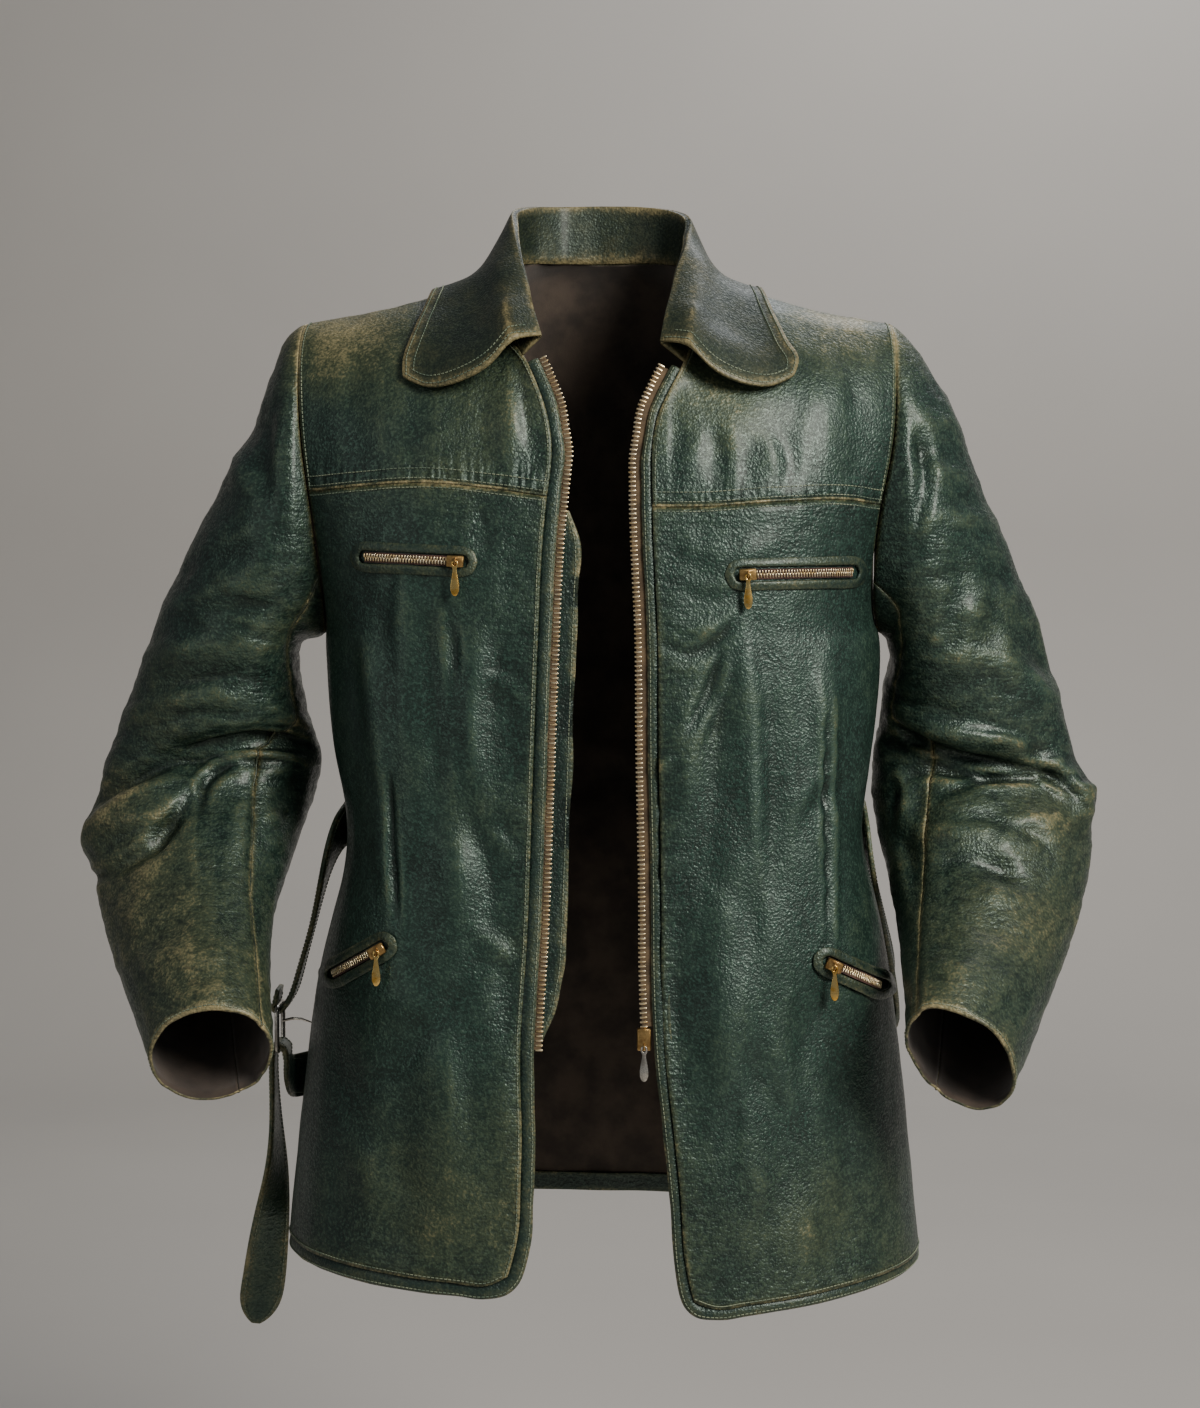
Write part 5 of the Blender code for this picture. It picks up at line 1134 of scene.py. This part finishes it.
# %% Cross-sections and frames
def stations(node, end, most_edges=3):
    """The four-cornered cross-sections of a strip, from the end nearest a point. Its
    first ring is looked for among vertices with no more than a number of edges."""
    mesh = merged(node)
    join_to_quads(mesh)
    caps = [v for v in mesh.verts if len(v.link_edges) <= most_edges]
    near = sorted(caps, key=lambda v: (v.co - Vector(end)).length)[:4]
    ring = [near[0]]
    while len(ring) < 4:
        ring.append(next(e.other_vert(ring[-1]) for e in ring[-1].link_edges
                         if e.other_vert(ring[-1]) in near and e.other_vert(ring[-1]) not in ring))
    rings, known = [ring], set(ring)
    while True:
        step = [[e.other_vert(v) for e in v.link_edges if e.other_vert(v) not in known]
                for v in rings[-1]]
        if not all(step):
            break
        rings.append([min(others, key=lambda v, k=k: (v.co - rings[-1][k].co).length)
                      for k, others in enumerate(step)])
        known |= set(rings[-1])
    found = np.array([[v.co for v in ring] for ring in rings])
    mesh.free()
    return found


def unit(vectors):
    """Vectors made one long."""
    return vectors / np.maximum(np.linalg.norm(vectors, axis=-1, keepdims=True), 1e-12)


def frames_of(sections, out_hint):
    """The middle, the direction along, across and out, and the half width."""
    middle = sections.mean(axis=1)
    first = sections[:, 1] - sections[:, 0]
    second = sections[:, 2] - sections[:, 1]
    long_first = np.linalg.norm(first, axis=1).mean() > np.linalg.norm(second, axis=1).mean()
    wide = first if long_first else second
    along = unit(np.gradient(middle, axis=0))
    across = unit(wide - along * np.sum(wide * along, axis=1, keepdims=True))
    out = np.cross(along, across)
    hint = np.asarray(out_hint, dtype=float)
    if np.sum(out[0] * hint) < 0:
        out = -out
    return {"middle": middle, "along": along, "across": across, "out": out,
            "half": np.linalg.norm(wide, axis=1) / 2}


def resampled(frames, step, start=0.0, end=None):
    """The frames at even steps along their middle line."""
    gaps = np.linalg.norm(np.diff(frames["middle"], axis=0), axis=1)
    length = np.concatenate(([0], np.cumsum(gaps)))
    end = length[-1] if end is None else end
    count = max(2, int(round((end - start) / step)) + 1)
    wanted = np.linspace(start, end, count)
    result = {}
    for key, values in frames.items():
        if values.ndim == 1:
            result[key] = np.interp(wanted, length, values)
        else:
            result[key] = smooth_interp(wanted, length, values)
    for key in ("along", "across", "out"):
        result[key] = unit(result[key])
    return result


def smooth_interp(wanted, known, values):
    """Smooth curve through the values at the known places."""
    slopes = np.gradient(values, known, axis=0)
    index = np.clip(np.searchsorted(known, wanted) - 1, 0, len(known) - 2)
    width = (known[index + 1] - known[index])[:, None]
    t = ((wanted - known[index])[:, None]) / width
    return ((2 * t ** 3 - 3 * t ** 2 + 1) * values[index]
            + (t ** 3 - 2 * t ** 2 + t) * width * slopes[index]
            + (-2 * t ** 3 + 3 * t ** 2) * values[index + 1]
            + (t ** 3 - t ** 2) * width * slopes[index + 1])


def strip_places(points, frames):
    """Where points lie on a strip: across and out from its middle line."""
    tree = tree_of(frames["middle"])
    nearest = np.array([tree.find(p)[1] for p in points])
    step = points - frames["middle"][nearest]
    return (np.sum(step * frames["across"][nearest], axis=1),
            np.sum(step * frames["out"][nearest], axis=1), nearest)

# %% [markdown]
# ## The bands, the flap, the collar and the belt
# Each strip is a smooth copy with its own swells and worn edges.

# %% Make the strips
BAND_LAP = 5 * MM
CROWN = {"right": 1.7 * MM, "left": 1.5 * MM}
band_frames = {}
for side in SIDES:
    node = "band_" + side
    low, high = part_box(node)
    sections = stations(node, ((low.x + high.x) / 2, low.y, high.z))
    frames = frames_of(sections, (0, -1, 0))
    towards_gap = 1 if side == "right" else -1
    if frames["across"][10][0] * towards_gap < 0:
        frames["across"] = -frames["across"]
    frames = resampled(frames, 3 * MM)
    band_frames[side] = frames
    ob = rounded(node, node + "_leather", 3, 0.75, TRIM)
    points = coords(ob)
    across, out, nearest = strip_places(points, frames)
    half = frames["half"][nearest]
    share = (across - BAND_LAP / 2) / (half - BAND_LAP / 2)
    raise_by = CROWN[side] * np.sqrt(np.clip(1 - share ** 2, 0, 1)) * (out > 0)
    set_coords(ob, points + frames["out"][nearest] * raise_by[:, None])
    swell_strip(ob, 22 * MM, 0.5 * MM, 3)
    wear_by_edges(ob, corner_points(node), 2.0 * MM, 0.16, 0.2)
    print(node, "stations", len(sections), "half width %.1f mm" % (half.mean() / MM))

ob = rounded("band_back", "band_back_leather", 3, 0.75, TRIM)
wear_by_edges(ob, corner_points("band_back"), 2.0 * MM, 0.16, 0.2)
flap = rounded("wind_flap", "wind_flap_leather", 3, 0.8, TRIM)
swell_strip(flap, 30 * MM, 1.6 * MM, 5)
wear_by_edges(flap, corner_points("wind_flap"), 2.5 * MM, 0.26, 0.6)

collar = rounded("collar", "collar_leather", 2, 0.85, COLLAR)
wear_by_edges(collar, corner_points("collar"), 2.2 * MM, 0.22, 0.2, 0.05)
swell_strip(collar, 34 * MM, 0.9 * MM, 6)

for pocket in POCKETS:
    welt = rounded("welt_" + pocket, "welt_" + pocket + "_leather", 2, 0.35, TRIM)
    wear_by_edges(welt, corner_points("welt_" + pocket), 1.6 * MM, 0.06, 0.2)

# The belt starts at its buckle.
BUCKLE_END = (-0.2445, 0.028, -0.521)
belt = rounded("belt", "belt_leather", 2, 0.8, STRAP)
swell_strip(belt, 60 * MM, 0.5 * MM, 7)
wear_by_edges(belt, corner_points("belt"), 2.6 * MM, 0.30, 0.4)
belt_sections = stations("belt", BUCKLE_END, 9)
for side in SIDES:
    loop = rounded("belt_loop_" + side, "belt_loop_%s_leather" % side, 3, 0.7, TRIM)
    wear_by_edges(loop, corner_points("belt_loop_" + side), 2.0 * MM, 0.25, 0.4)

# %% [markdown]
# ## Zips
# A metal zip is a row of small stamped teeth clamped on the corded edge of a woven
# tape. One tooth is modelled from a box and bevelled, then set along the line
# that the CAD bar gives, turned to follow it. The main zip's halves hang open, so each
# has one row. The pocket zips are shut, so two rows mesh with half a step between.

# %% Zip materials
# The wave repeats about every 0.31 m at a scale of one, so this draws one thread each
# millimetre. A real thread is nearer 0.4 mm wide, too fine to show.
THREAD_SCALE = 0.32 / MM


def worn_finish(name, dark, light, tarnish, rough, spot=6 * MM, dirt=0.5, metallic=1.0):
    """Metal, or waxed thread: soft clouds of two tones, a tarnish colour in small random spots,
    and a fine bump.
    """
    material, output = new_material(name)
    place = add(material, "ShaderNodeTexCoord").outputs["Object"]
    colour, clouds = clouded(material, place, spot, 3.0, 0.35, 0.65, dark, light)
    fine = add(material, "ShaderNodeTexNoise",
               {"Scale": 6 / spot, "Detail": 2.0, "Roughness": 0.6}, {"Vector": place})
    share = add(material, "ShaderNodeMapRange",
                {"interpolation_type": "SMOOTHSTEP", "From Min": 0.52, "From Max": 0.8,
                 "To Max": dirt}, {"Value": fine.outputs["Fac"]})
    colour = add(material, "ShaderNodeMix", {"data_type": "RGBA", COLOUR_B: linear(tarnish)},
                 {"Factor": share.outputs[0], COLOUR_A: colour})
    roughness = add(material, "ShaderNodeMapRange",
                    {"interpolation_type": "SMOOTHSTEP", "From Min": 0.3, "From Max": 0.7,
                     "To Min": rough + 0.1, "To Max": rough}, {"Value": clouds})
    bump = add(material, "ShaderNodeBump", {"Strength": 0.25, "Distance": 0.15 * MM},
               {"Height": fine.outputs["Fac"]})
    return finish_shader(material, output, {"Metallic": metallic},
                         {"Base Color": colour.outputs[COLOUR_OUT],
                          "Roughness": roughness.outputs[0], "Normal": bump.outputs[0]})


def woven_tape(name, dark, light):
    """Cotton zip tape: matt, with fine bands of threads."""
    material, output = new_material(name)
    place = add(material, "ShaderNodeTexCoord").outputs["Object"]
    threads = add(material, "ShaderNodeTexWave",
                  {"wave_type": "BANDS", "bands_direction": "Z", "Scale": THREAD_SCALE,
                   "Distortion": 1.5, "Detail": 1.0}, {"Vector": place}).outputs["Fac"]
    colour, _ = clouded(material, place, 12 * MM, 3.0, 0.3, 0.7, dark, light)
    bump = add(material, "ShaderNodeBump", {"Strength": 0.5, "Distance": 0.25 * MM},
               {"Height": threads})
    return finish_shader(material, output, {"Roughness": 0.92},
                         {"Base Color": colour, "Normal": bump.outputs[0]})


TEETH = worn_finish("aged_brass_teeth", "#c2ab7f", "#efe2c2", "#8a744f", 0.26, 5 * MM)
SLIDER_BRASS = worn_finish("aged_brass_slider", "#8c6d42", "#c9a66c", "#4e3a24", 0.28)
GILT = worn_finish("rubbed_gilt_pull", "#cf9f45", "#f3d48a", "#8a6630", 0.18, 8 * MM, 0.3)
NICKEL = worn_finish("worn_nickel_plate", "#8d8a84", "#cfccc4", "#5d564a", 0.24, 9 * MM, 0.4)
TAPE = woven_tape("cotton_zip_tape", "#3d3122", "#5e4e39")
POCKET_TAPE = woven_tape("brown_zip_tape", "#2e1f1c", "#4a332c")
print("metals:", TEETH.name, SLIDER_BRASS.name, GILT.name, NICKEL.name)

# %% [markdown]
# ## Teeth and tapes
# An array along a curve could set the teeth, but it would stretch at the bends. Copying
# one small mesh to even places keeps every tooth the same and the whole row one mesh.

# %% One tooth, and rows of it
MAIN_PITCH, POCKET_PITCH = 3.3 * MM, 2.2 * MM


def one_tooth(size, bevel):
    """One stamped tooth: a box, waisted at its root and rounded all over."""
    deselect_all()
    bpy.ops.mesh.primitive_cube_add(size=1)
    ob = bpy.context.object
    bpy.ops.object.mode_set(mode="EDIT")
    bpy.ops.transform.resize(value=size)
    bpy.ops.object.mode_set(mode="OBJECT")
    for vertex in ob.data.vertices:
        vertex.select = vertex.co.x > 0
    bpy.ops.object.mode_set(mode="EDIT")
    bpy.ops.transform.resize(value=(1, 0.82, 0.86), center_override=(size[0] / 2, 0, 0))
    bpy.ops.mesh.select_all(action="SELECT")
    bpy.ops.mesh.bevel(offset=bevel, segments=2, affect="EDGES")
    bpy.ops.object.mode_set(mode="OBJECT")
    points = coords(ob)
    faces = [tuple(p.vertices) for p in ob.data.polygons]
    bpy.data.objects.remove(ob)
    return points, faces


def copies(name, shape, places, axes, material):
    """One mesh made of copies of a shape, each at a place and turned to three axes."""
    points, faces = shape
    all_points = np.concatenate([place + points @ np.array(turn)
                                 for place, turn in zip(places, axes)])
    count = len(points)
    all_faces = [tuple(v + i * count for v in face)
                 for i in range(len(places)) for face in faces]
    ob = linked(name, all_points.tolist(), all_faces)
    for polygon in ob.data.polygons:
        polygon.use_smooth = True
    ob.data.materials.append(material)
    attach(ob, "coat")
    return ob


def loft(name, frames, profile, material):
    """A closed bar with one profile, given as across and out, along the frames."""
    rows = np.stack([frames["middle"] + frames["across"] * a + frames["out"] * o
                     for a, o in profile], axis=1)
    count, ring = rows.shape[:2]
    index = np.arange(count * ring).reshape(count, ring)
    faces = [(int(index[r, c]), int(index[r, (c + 1) % ring]),
              int(index[r + 1, (c + 1) % ring]), int(index[r + 1, c]))
             for r in range(count - 1) for c in range(ring)]
    faces += [tuple(int(i) for i in index[0][::-1]), tuple(int(i) for i in index[-1])]
    ob = linked(name, rows.reshape(-1, 3).tolist(), faces)
    mesh = bmesh.new()
    mesh.from_mesh(ob.data)
    bmesh.ops.recalc_face_normals(mesh, faces=mesh.faces[:])
    mesh.to_mesh(ob.data)
    mesh.free()
    ob.data.materials.append(material)
    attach(ob, "coat")
    return ob


def cut_frames(frames, keep):
    """Only some of the frames."""
    return {key: values[keep] for key, values in frames.items()}

# %% [markdown]
# ## The main zip
# Each half follows the edge of its band: the CAD bar gives where the teeth start and end,
# and how far out they stand.

# %% Teeth and tape of the open front
TOOTH = one_tooth((5.4 * MM, 1.75 * MM, 3.0 * MM), 0.45 * MM)
for side in SIDES:
    node = "zip_" + side
    frames = band_frames[side]
    points = coords(nodes[node])
    across, out, nearest = strip_places(points, frames)
    bead = across.max() - 2.8 * MM
    top = out.max()
    first, last = nearest.min(), nearest.max()
    part = cut_frames(frames, slice(first, last + 1))
    line = {**part, "middle": part["middle"] + part["across"] * bead
            + part["out"] * (top - 1.5 * MM)}
    teeth = resampled(line, MAIN_PITCH)
    axes = np.stack((teeth["across"], teeth["along"], teeth["out"]), axis=1)
    row = copies("teeth_" + side, TOOTH, teeth["middle"], axes, TEETH)
    inner = across.min() - bead
    base = -0.55 * MM
    tape = loft("tape_" + side, resampled(line, 5 * MM),
                [(inner, base), (1.2 * MM, base), (1.6 * MM, 0), (1.2 * MM, -base),
                 (0, -base), (inner, -base)], TAPE)
    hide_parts(node)
    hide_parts(node)
    print(node, "teeth", len(teeth["middle"]), "bead %.1f inner %.1f top %.1f mm"
          % (bead / MM, inner / MM, top / MM))

# %% [markdown]
# ## The pocket zips
# These are short and nearly straight, so their direction is the longest axis of the bar.

# %% Teeth and tape of the pockets
def pocket_frames(node):
    """The middle line and directions of a short pocket zip."""
    points = coords(nodes[node])
    points = np.unique(np.round(points, 6), axis=0)
    centre = points.mean(axis=0)
    _, _, axes = np.linalg.svd(points - centre)
    along, across, out = axes
    if out[1] > 0:
        out = -out
    along = along * np.sign(along[0])
    across = np.cross(out, along)
    order = points[np.argsort((points - centre) @ along)]
    groups = np.array_split(order, POCKET_STATIONS)
    middle = np.array([g.mean(axis=0) for g in groups])
    top = max((order - middle.mean(axis=0)) @ out)
    count = len(middle)
    return {"middle": middle, "along": np.tile(along, (count, 1)),
            "across": np.tile(across, (count, 1)), "out": np.tile(out, (count, 1)),
            "half": np.full(count, top)}


POCKET_STATIONS = 7
POCKET_LIFT, POCKET_APART = 0.35 * MM, 1.15 * MM
POCKET_TAPE_HALF = 3.6 * MM
POCKET_TOOTH = one_tooth((3.0 * MM, 1.25 * MM, 1.7 * MM), 0.25 * MM)
for pocket in POCKETS:
    node = "zip_" + pocket
    frames = resampled(pocket_frames(node), POCKET_PITCH)
    count = len(frames["middle"])
    lift = frames["out"] * POCKET_LIFT
    upper = frames["middle"] + lift + frames["across"] * POCKET_APART
    lower = (frames["middle"] + lift - frames["across"] * POCKET_APART
             + frames["along"] * POCKET_PITCH / 2)
    axes_up = np.stack((-frames["across"], frames["along"], frames["out"]), axis=1)
    axes_low = np.stack((frames["across"], frames["along"], frames["out"]), axis=1)
    row = copies("teeth_" + pocket, POCKET_TOOTH, np.concatenate((upper, lower[:-1])),
                 np.concatenate((axes_up, axes_low[:-1])), TEETH)
    tapes = loft("tape_" + pocket, frames,
                 [(-POCKET_TAPE_HALF, -0.8 * MM), (POCKET_TAPE_HALF, -0.8 * MM),
                  (POCKET_TAPE_HALF, 0.1 * MM), (-POCKET_TAPE_HALF, 0.1 * MM)],
                 POCKET_TAPE)
    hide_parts(node)
    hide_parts(node)
    print(node, "teeth", 2 * count - 1)

# %% [markdown]
# ## Metal pieces
# Sliders, pull tabs and the buckle are cast and stamped, so their edges are softly
# rounded. Each CAD solid is copied, its edges bevelled by a quarter of a millimetre
# and shaded by angle. The pull tabs ride on their own bodies, because they swing.

# %% Bevelled copies of the metal pieces
def softened(node, name, bevel, material, body):
    """A copy of a metal CAD piece with its edges rounded."""
    ob = to_object(merged(node), name)
    modifier = ob.modifiers.new("Bevel", "BEVEL")
    modifier.width = bevel
    modifier.segments = 2
    modifier.limit_method = "ANGLE"
    modifier.angle_limit = math.radians(38)
    apply_modifiers(ob)
    deselect_all()
    ob.select_set(True)
    bpy.context.view_layer.objects.active = ob
    bpy.ops.object.shade_smooth_by_angle(angle=math.radians(50))
    ob.data.materials.append(material)
    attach(ob, body)
    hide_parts(node)
    return ob


for pocket in POCKETS:
    softened("slider_" + pocket, "slider_%s_metal" % pocket, 0.25 * MM, SLIDER_BRASS,
             "coat")
    softened("pull_" + pocket, "pull_%s_metal" % pocket, 0.3 * MM, GILT,
             "pull_%s_body" % pocket)
softened("slider_main", "slider_main_metal", 0.35 * MM, SLIDER_BRASS, "coat")
softened("pull_main", "pull_main_metal", 0.3 * MM, NICKEL, "pull_main_body")
softened("buckle_frame", "buckle_frame_metal", 0.2 * MM, NICKEL, "coat")
softened("buckle_prong", "buckle_prong_metal", 0.2 * MM, NICKEL, "coat")

# %% [markdown]
# ## Seams that stand up, and stitches
# Where two pieces are joined, the upper one is turned under and its folded edge stands
# a little proud and is rubbed pale. Beside it run one or two rows of lockstitch, three
# millimetres to the stitch, each pulled slightly into the leather. A row's line comes
# from the CAD skin's own grid, a fixed distance in from one side, and is then laid on
# the creased shell, so it follows every fold. One stitch is modelled and copied.

# %% Lines on the skins
STITCH_PITCH = 3.1 * MM
STITCH = one_tooth((2.3 * MM, 0.85 * MM, 0.9 * MM), 0.22 * MM)
THREAD_GREEN = worn_finish("waxed_linen_thread", "#4d5c4e", "#78806a", "#2c372f", 0.55,
                           20 * MM, metallic=0.0)


def sides_of(grid):
    """The grid turned so that each of its four sides is in turn the first row."""
    turned = np.swapaxes(grid, 0, 1)
    return [grid, grid[::-1], turned, turned[::-1]]


def side_near(grid, points):
    """The grid turned so that its first row is the side nearest some points."""
    tree = tree_of(points)
    return min(sides_of(grid), key=lambda g: distance_to(g[0], tree).mean())


def lowest_side(grid):
    """The grid turned so that its first row is its lowest side."""
    return min(sides_of(grid), key=lambda g: g[0][:, 2].mean())


def inset_line(grid, inset):
    """Points a fixed distance in from the grid's first row."""
    steps = np.linalg.norm(np.diff(grid, axis=0), axis=2)
    arc = np.vstack((np.zeros(grid.shape[1]), np.cumsum(steps, axis=0)))
    return np.array([[np.interp(inset, arc[:, c], grid[:, c, k]) for k in range(3)]
                     for c in range(grid.shape[1])])


def laid(line, tree, step, trim=0.0):
    """The line at even steps, laid on a surface, with directions along, across and out."""
    gaps = np.linalg.norm(np.diff(line, axis=0), axis=1)
    arc = np.concatenate(([0], np.cumsum(gaps)))
    count = max(3, int(round((arc[-1] - 2 * trim) / step)) + 1)
    points = smooth_interp(np.linspace(trim, arc[-1] - trim, count), arc, line)
    hits = [tree.find_nearest(Vector(p)) for p in points]
    middle = np.array([hit[0] for hit in hits])
    out = unit(np.array([hit[1] for hit in hits]))
    along = unit(np.gradient(middle, axis=0))
    across = unit(np.cross(out, along))
    out = np.cross(along, across)
    return {"middle": middle, "along": along, "across": across, "out": out,
            "half": np.ones(count)}


def stitch_row(name, line, tree, trim=2.0 * MM, lift=0.30 * MM):
    """A row of stitches along a line on a surface."""
    frames = laid(line, tree, STITCH_PITCH, trim)
    axes = np.stack((frames["along"], frames["across"], frames["out"]), axis=1)
    places = frames["middle"] + frames["out"] * lift
    copies(name, STITCH, places, axes, THREAD_GREEN)
    return len(places)


def turned_edge(name, line, tree, width=1.1 * MM, height=0.75 * MM, wear=0.42):
    """The folded edge of a seam, standing a little proud."""
    frames = laid(line, tree, 3 * MM, 0.0)
    profile = [(-width, -0.5 * MM), (-0.7 * width, 0.55 * height), (0, height),
               (0.7 * width, 0.55 * height), (width, -0.5 * MM)]
    ob = loft(name, frames, profile, TRIM)
    for polygon in ob.data.polygons:
        polygon.use_smooth = True
    points = coords(ob)
    store(ob, "wear", wear + 0.25 * waves(points, 9 * MM, 8))
    # The ridge value of 0.2 paints a faint highlight along the whole turned edge.
    for key in ("ridge", "crease", "gather"):
        store(ob, key, np.full(len(points), 0.2 if key == "ridge" else 0.0))


def shell_tree(ob):
    """A searchable surface of a finished piece."""
    return BVHTree.FromPolygons([v.co for v in ob.data.vertices],
                                [p.vertices for p in ob.data.polygons])

# %% [markdown]
# ## Where the rows run
# Two rows hold each yoke seam, one row runs beside each front edge, armhole, hem, cuff
# and band, two go round the collar's leaf, and the flap and the belt have one row along
# each edge. The insets are in millimetres from the edge.

# %% Rows on the body, the sleeves, the collar and the strips
rows = 0
for side in SIDES:
    front, yoke = cages["front_" + side], cages["yoke_" + side]
    front_tree, yoke_tree = skin_trees["front_" + side], skin_trees["yoke_" + side]
    opening = band_frames[side]["middle"]
    yoke_low = lowest_side(yoke)
    turned_edge("yoke_edge_" + side, inset_line(yoke_low, 0.8 * MM), yoke_tree, wear=0.5)
    for number, inset in enumerate((3.6, 10.5)):
        rows += stitch_row("stitches_yoke_%s_%d" % (side, number),
                           inset_line(yoke_low, inset * MM), yoke_tree)
    for name, grid, tree in (("front", front, front_tree), ("yoke", yoke, yoke_tree)):
        rows += stitch_row("stitches_%s_edge_%s" % (name, side),
                           inset_line(side_near(grid, opening), 2.4 * MM), tree)
        arm = armhole_lines[side]
        rows += stitch_row("stitches_%s_armhole_%s" % (name, side),
                           inset_line(side_near(grid, arm), 3.0 * MM), tree)
    rows += stitch_row("stitches_hem_" + side, inset_line(lowest_side(front), 2.4 * MM),
                       front_tree, 6 * MM)
    top, under = cages["sleeve_top_" + side], cages["sleeve_under_" + side]
    top_tree = skin_trees["sleeve_top_" + side]
    under_tree = skin_trees["sleeve_under_" + side]
    for number, edge in enumerate(sides_of(under)):
        if np.ptp(edge[0][:, 2]) > 0.3:
            matching = side_near(top, edge[0])
            turned_edge("sleeve_seam_%s_%d" % (side, number), inset_line(matching, 0.7 * MM),
                        top_tree, wear=0.34)
    rows += stitch_row("stitches_cuff_top_" + side, inset_line(lowest_side(top), 3 * MM),
                       top_tree)
    rows += stitch_row("stitches_cuff_under_" + side, inset_line(lowest_side(under), 3 * MM),
                       under_tree)
    frames = band_frames[side]
    band_tree = shell_tree(bpy.data.objects["band_%s_leather" % side])
    line = (frames["middle"] + frames["across"] * (frames["half"] - 1.9 * MM)[:, None]
            + frames["out"] * 2 * MM)
    rows += stitch_row("stitches_band_" + side, line[::2], band_tree)

rows += stitch_row("stitches_hem_back", inset_line(lowest_side(cages["back"]), 2.4 * MM),
                   skin_trees["back"])
collar_skin = outer_skin("collar", "collar_guide", body_middle)
bpy.data.objects.remove(collar_skin)
collar_tree = shell_tree(collar)
fold_side = max(sides_of(cages["collar_guide"]), key=lambda g: g[0][:, 2].mean())
for number, grid in enumerate(sides_of(cages["collar_guide"])):
    if not np.allclose(grid[0].mean(axis=0), fold_side[0].mean(axis=0)):
        for row, inset in enumerate((2.8, 9.5)):
            rows += stitch_row("stitches_collar_%d_%d" % (number, row),
                               inset_line(grid, inset * MM), collar_tree, inset * MM)

flap_frames = frames_of(stations("wind_flap", (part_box("wind_flap")[0].x, -0.13, -0.15)),
                        (0, -1, 0))
flap_tree = shell_tree(flap)
for number, share in enumerate((-1, 1)):
    line = (flap_frames["middle"] + share * flap_frames["across"]
            * (flap_frames["half"] - 2.6 * MM)[:, None] + flap_frames["out"] * 2 * MM)
    rows += stitch_row("stitches_flap_%d" % number, line, flap_tree, 5 * MM)
belt_frames = frames_of(belt_sections, (0, -1, 0))
belt_tree = shell_tree(belt)
for number, (share, face) in enumerate(((-1, 1), (1, 1), (-1, -1), (1, -1))):
    line = (belt_frames["middle"] + share * belt_frames["across"]
            * (belt_frames["half"] - 2.8 * MM)[:, None]
            + face * belt_frames["out"] * 2.2 * MM)
    rows += stitch_row("stitches_belt_%d" % number, line, belt_tree, 6 * MM)
print("stitches:", rows)

# %% [markdown]
# ## The end
# The view layer is brought up to date, and the frame is finished.

# %% Update the view layer
bpy.context.view_layer.update()
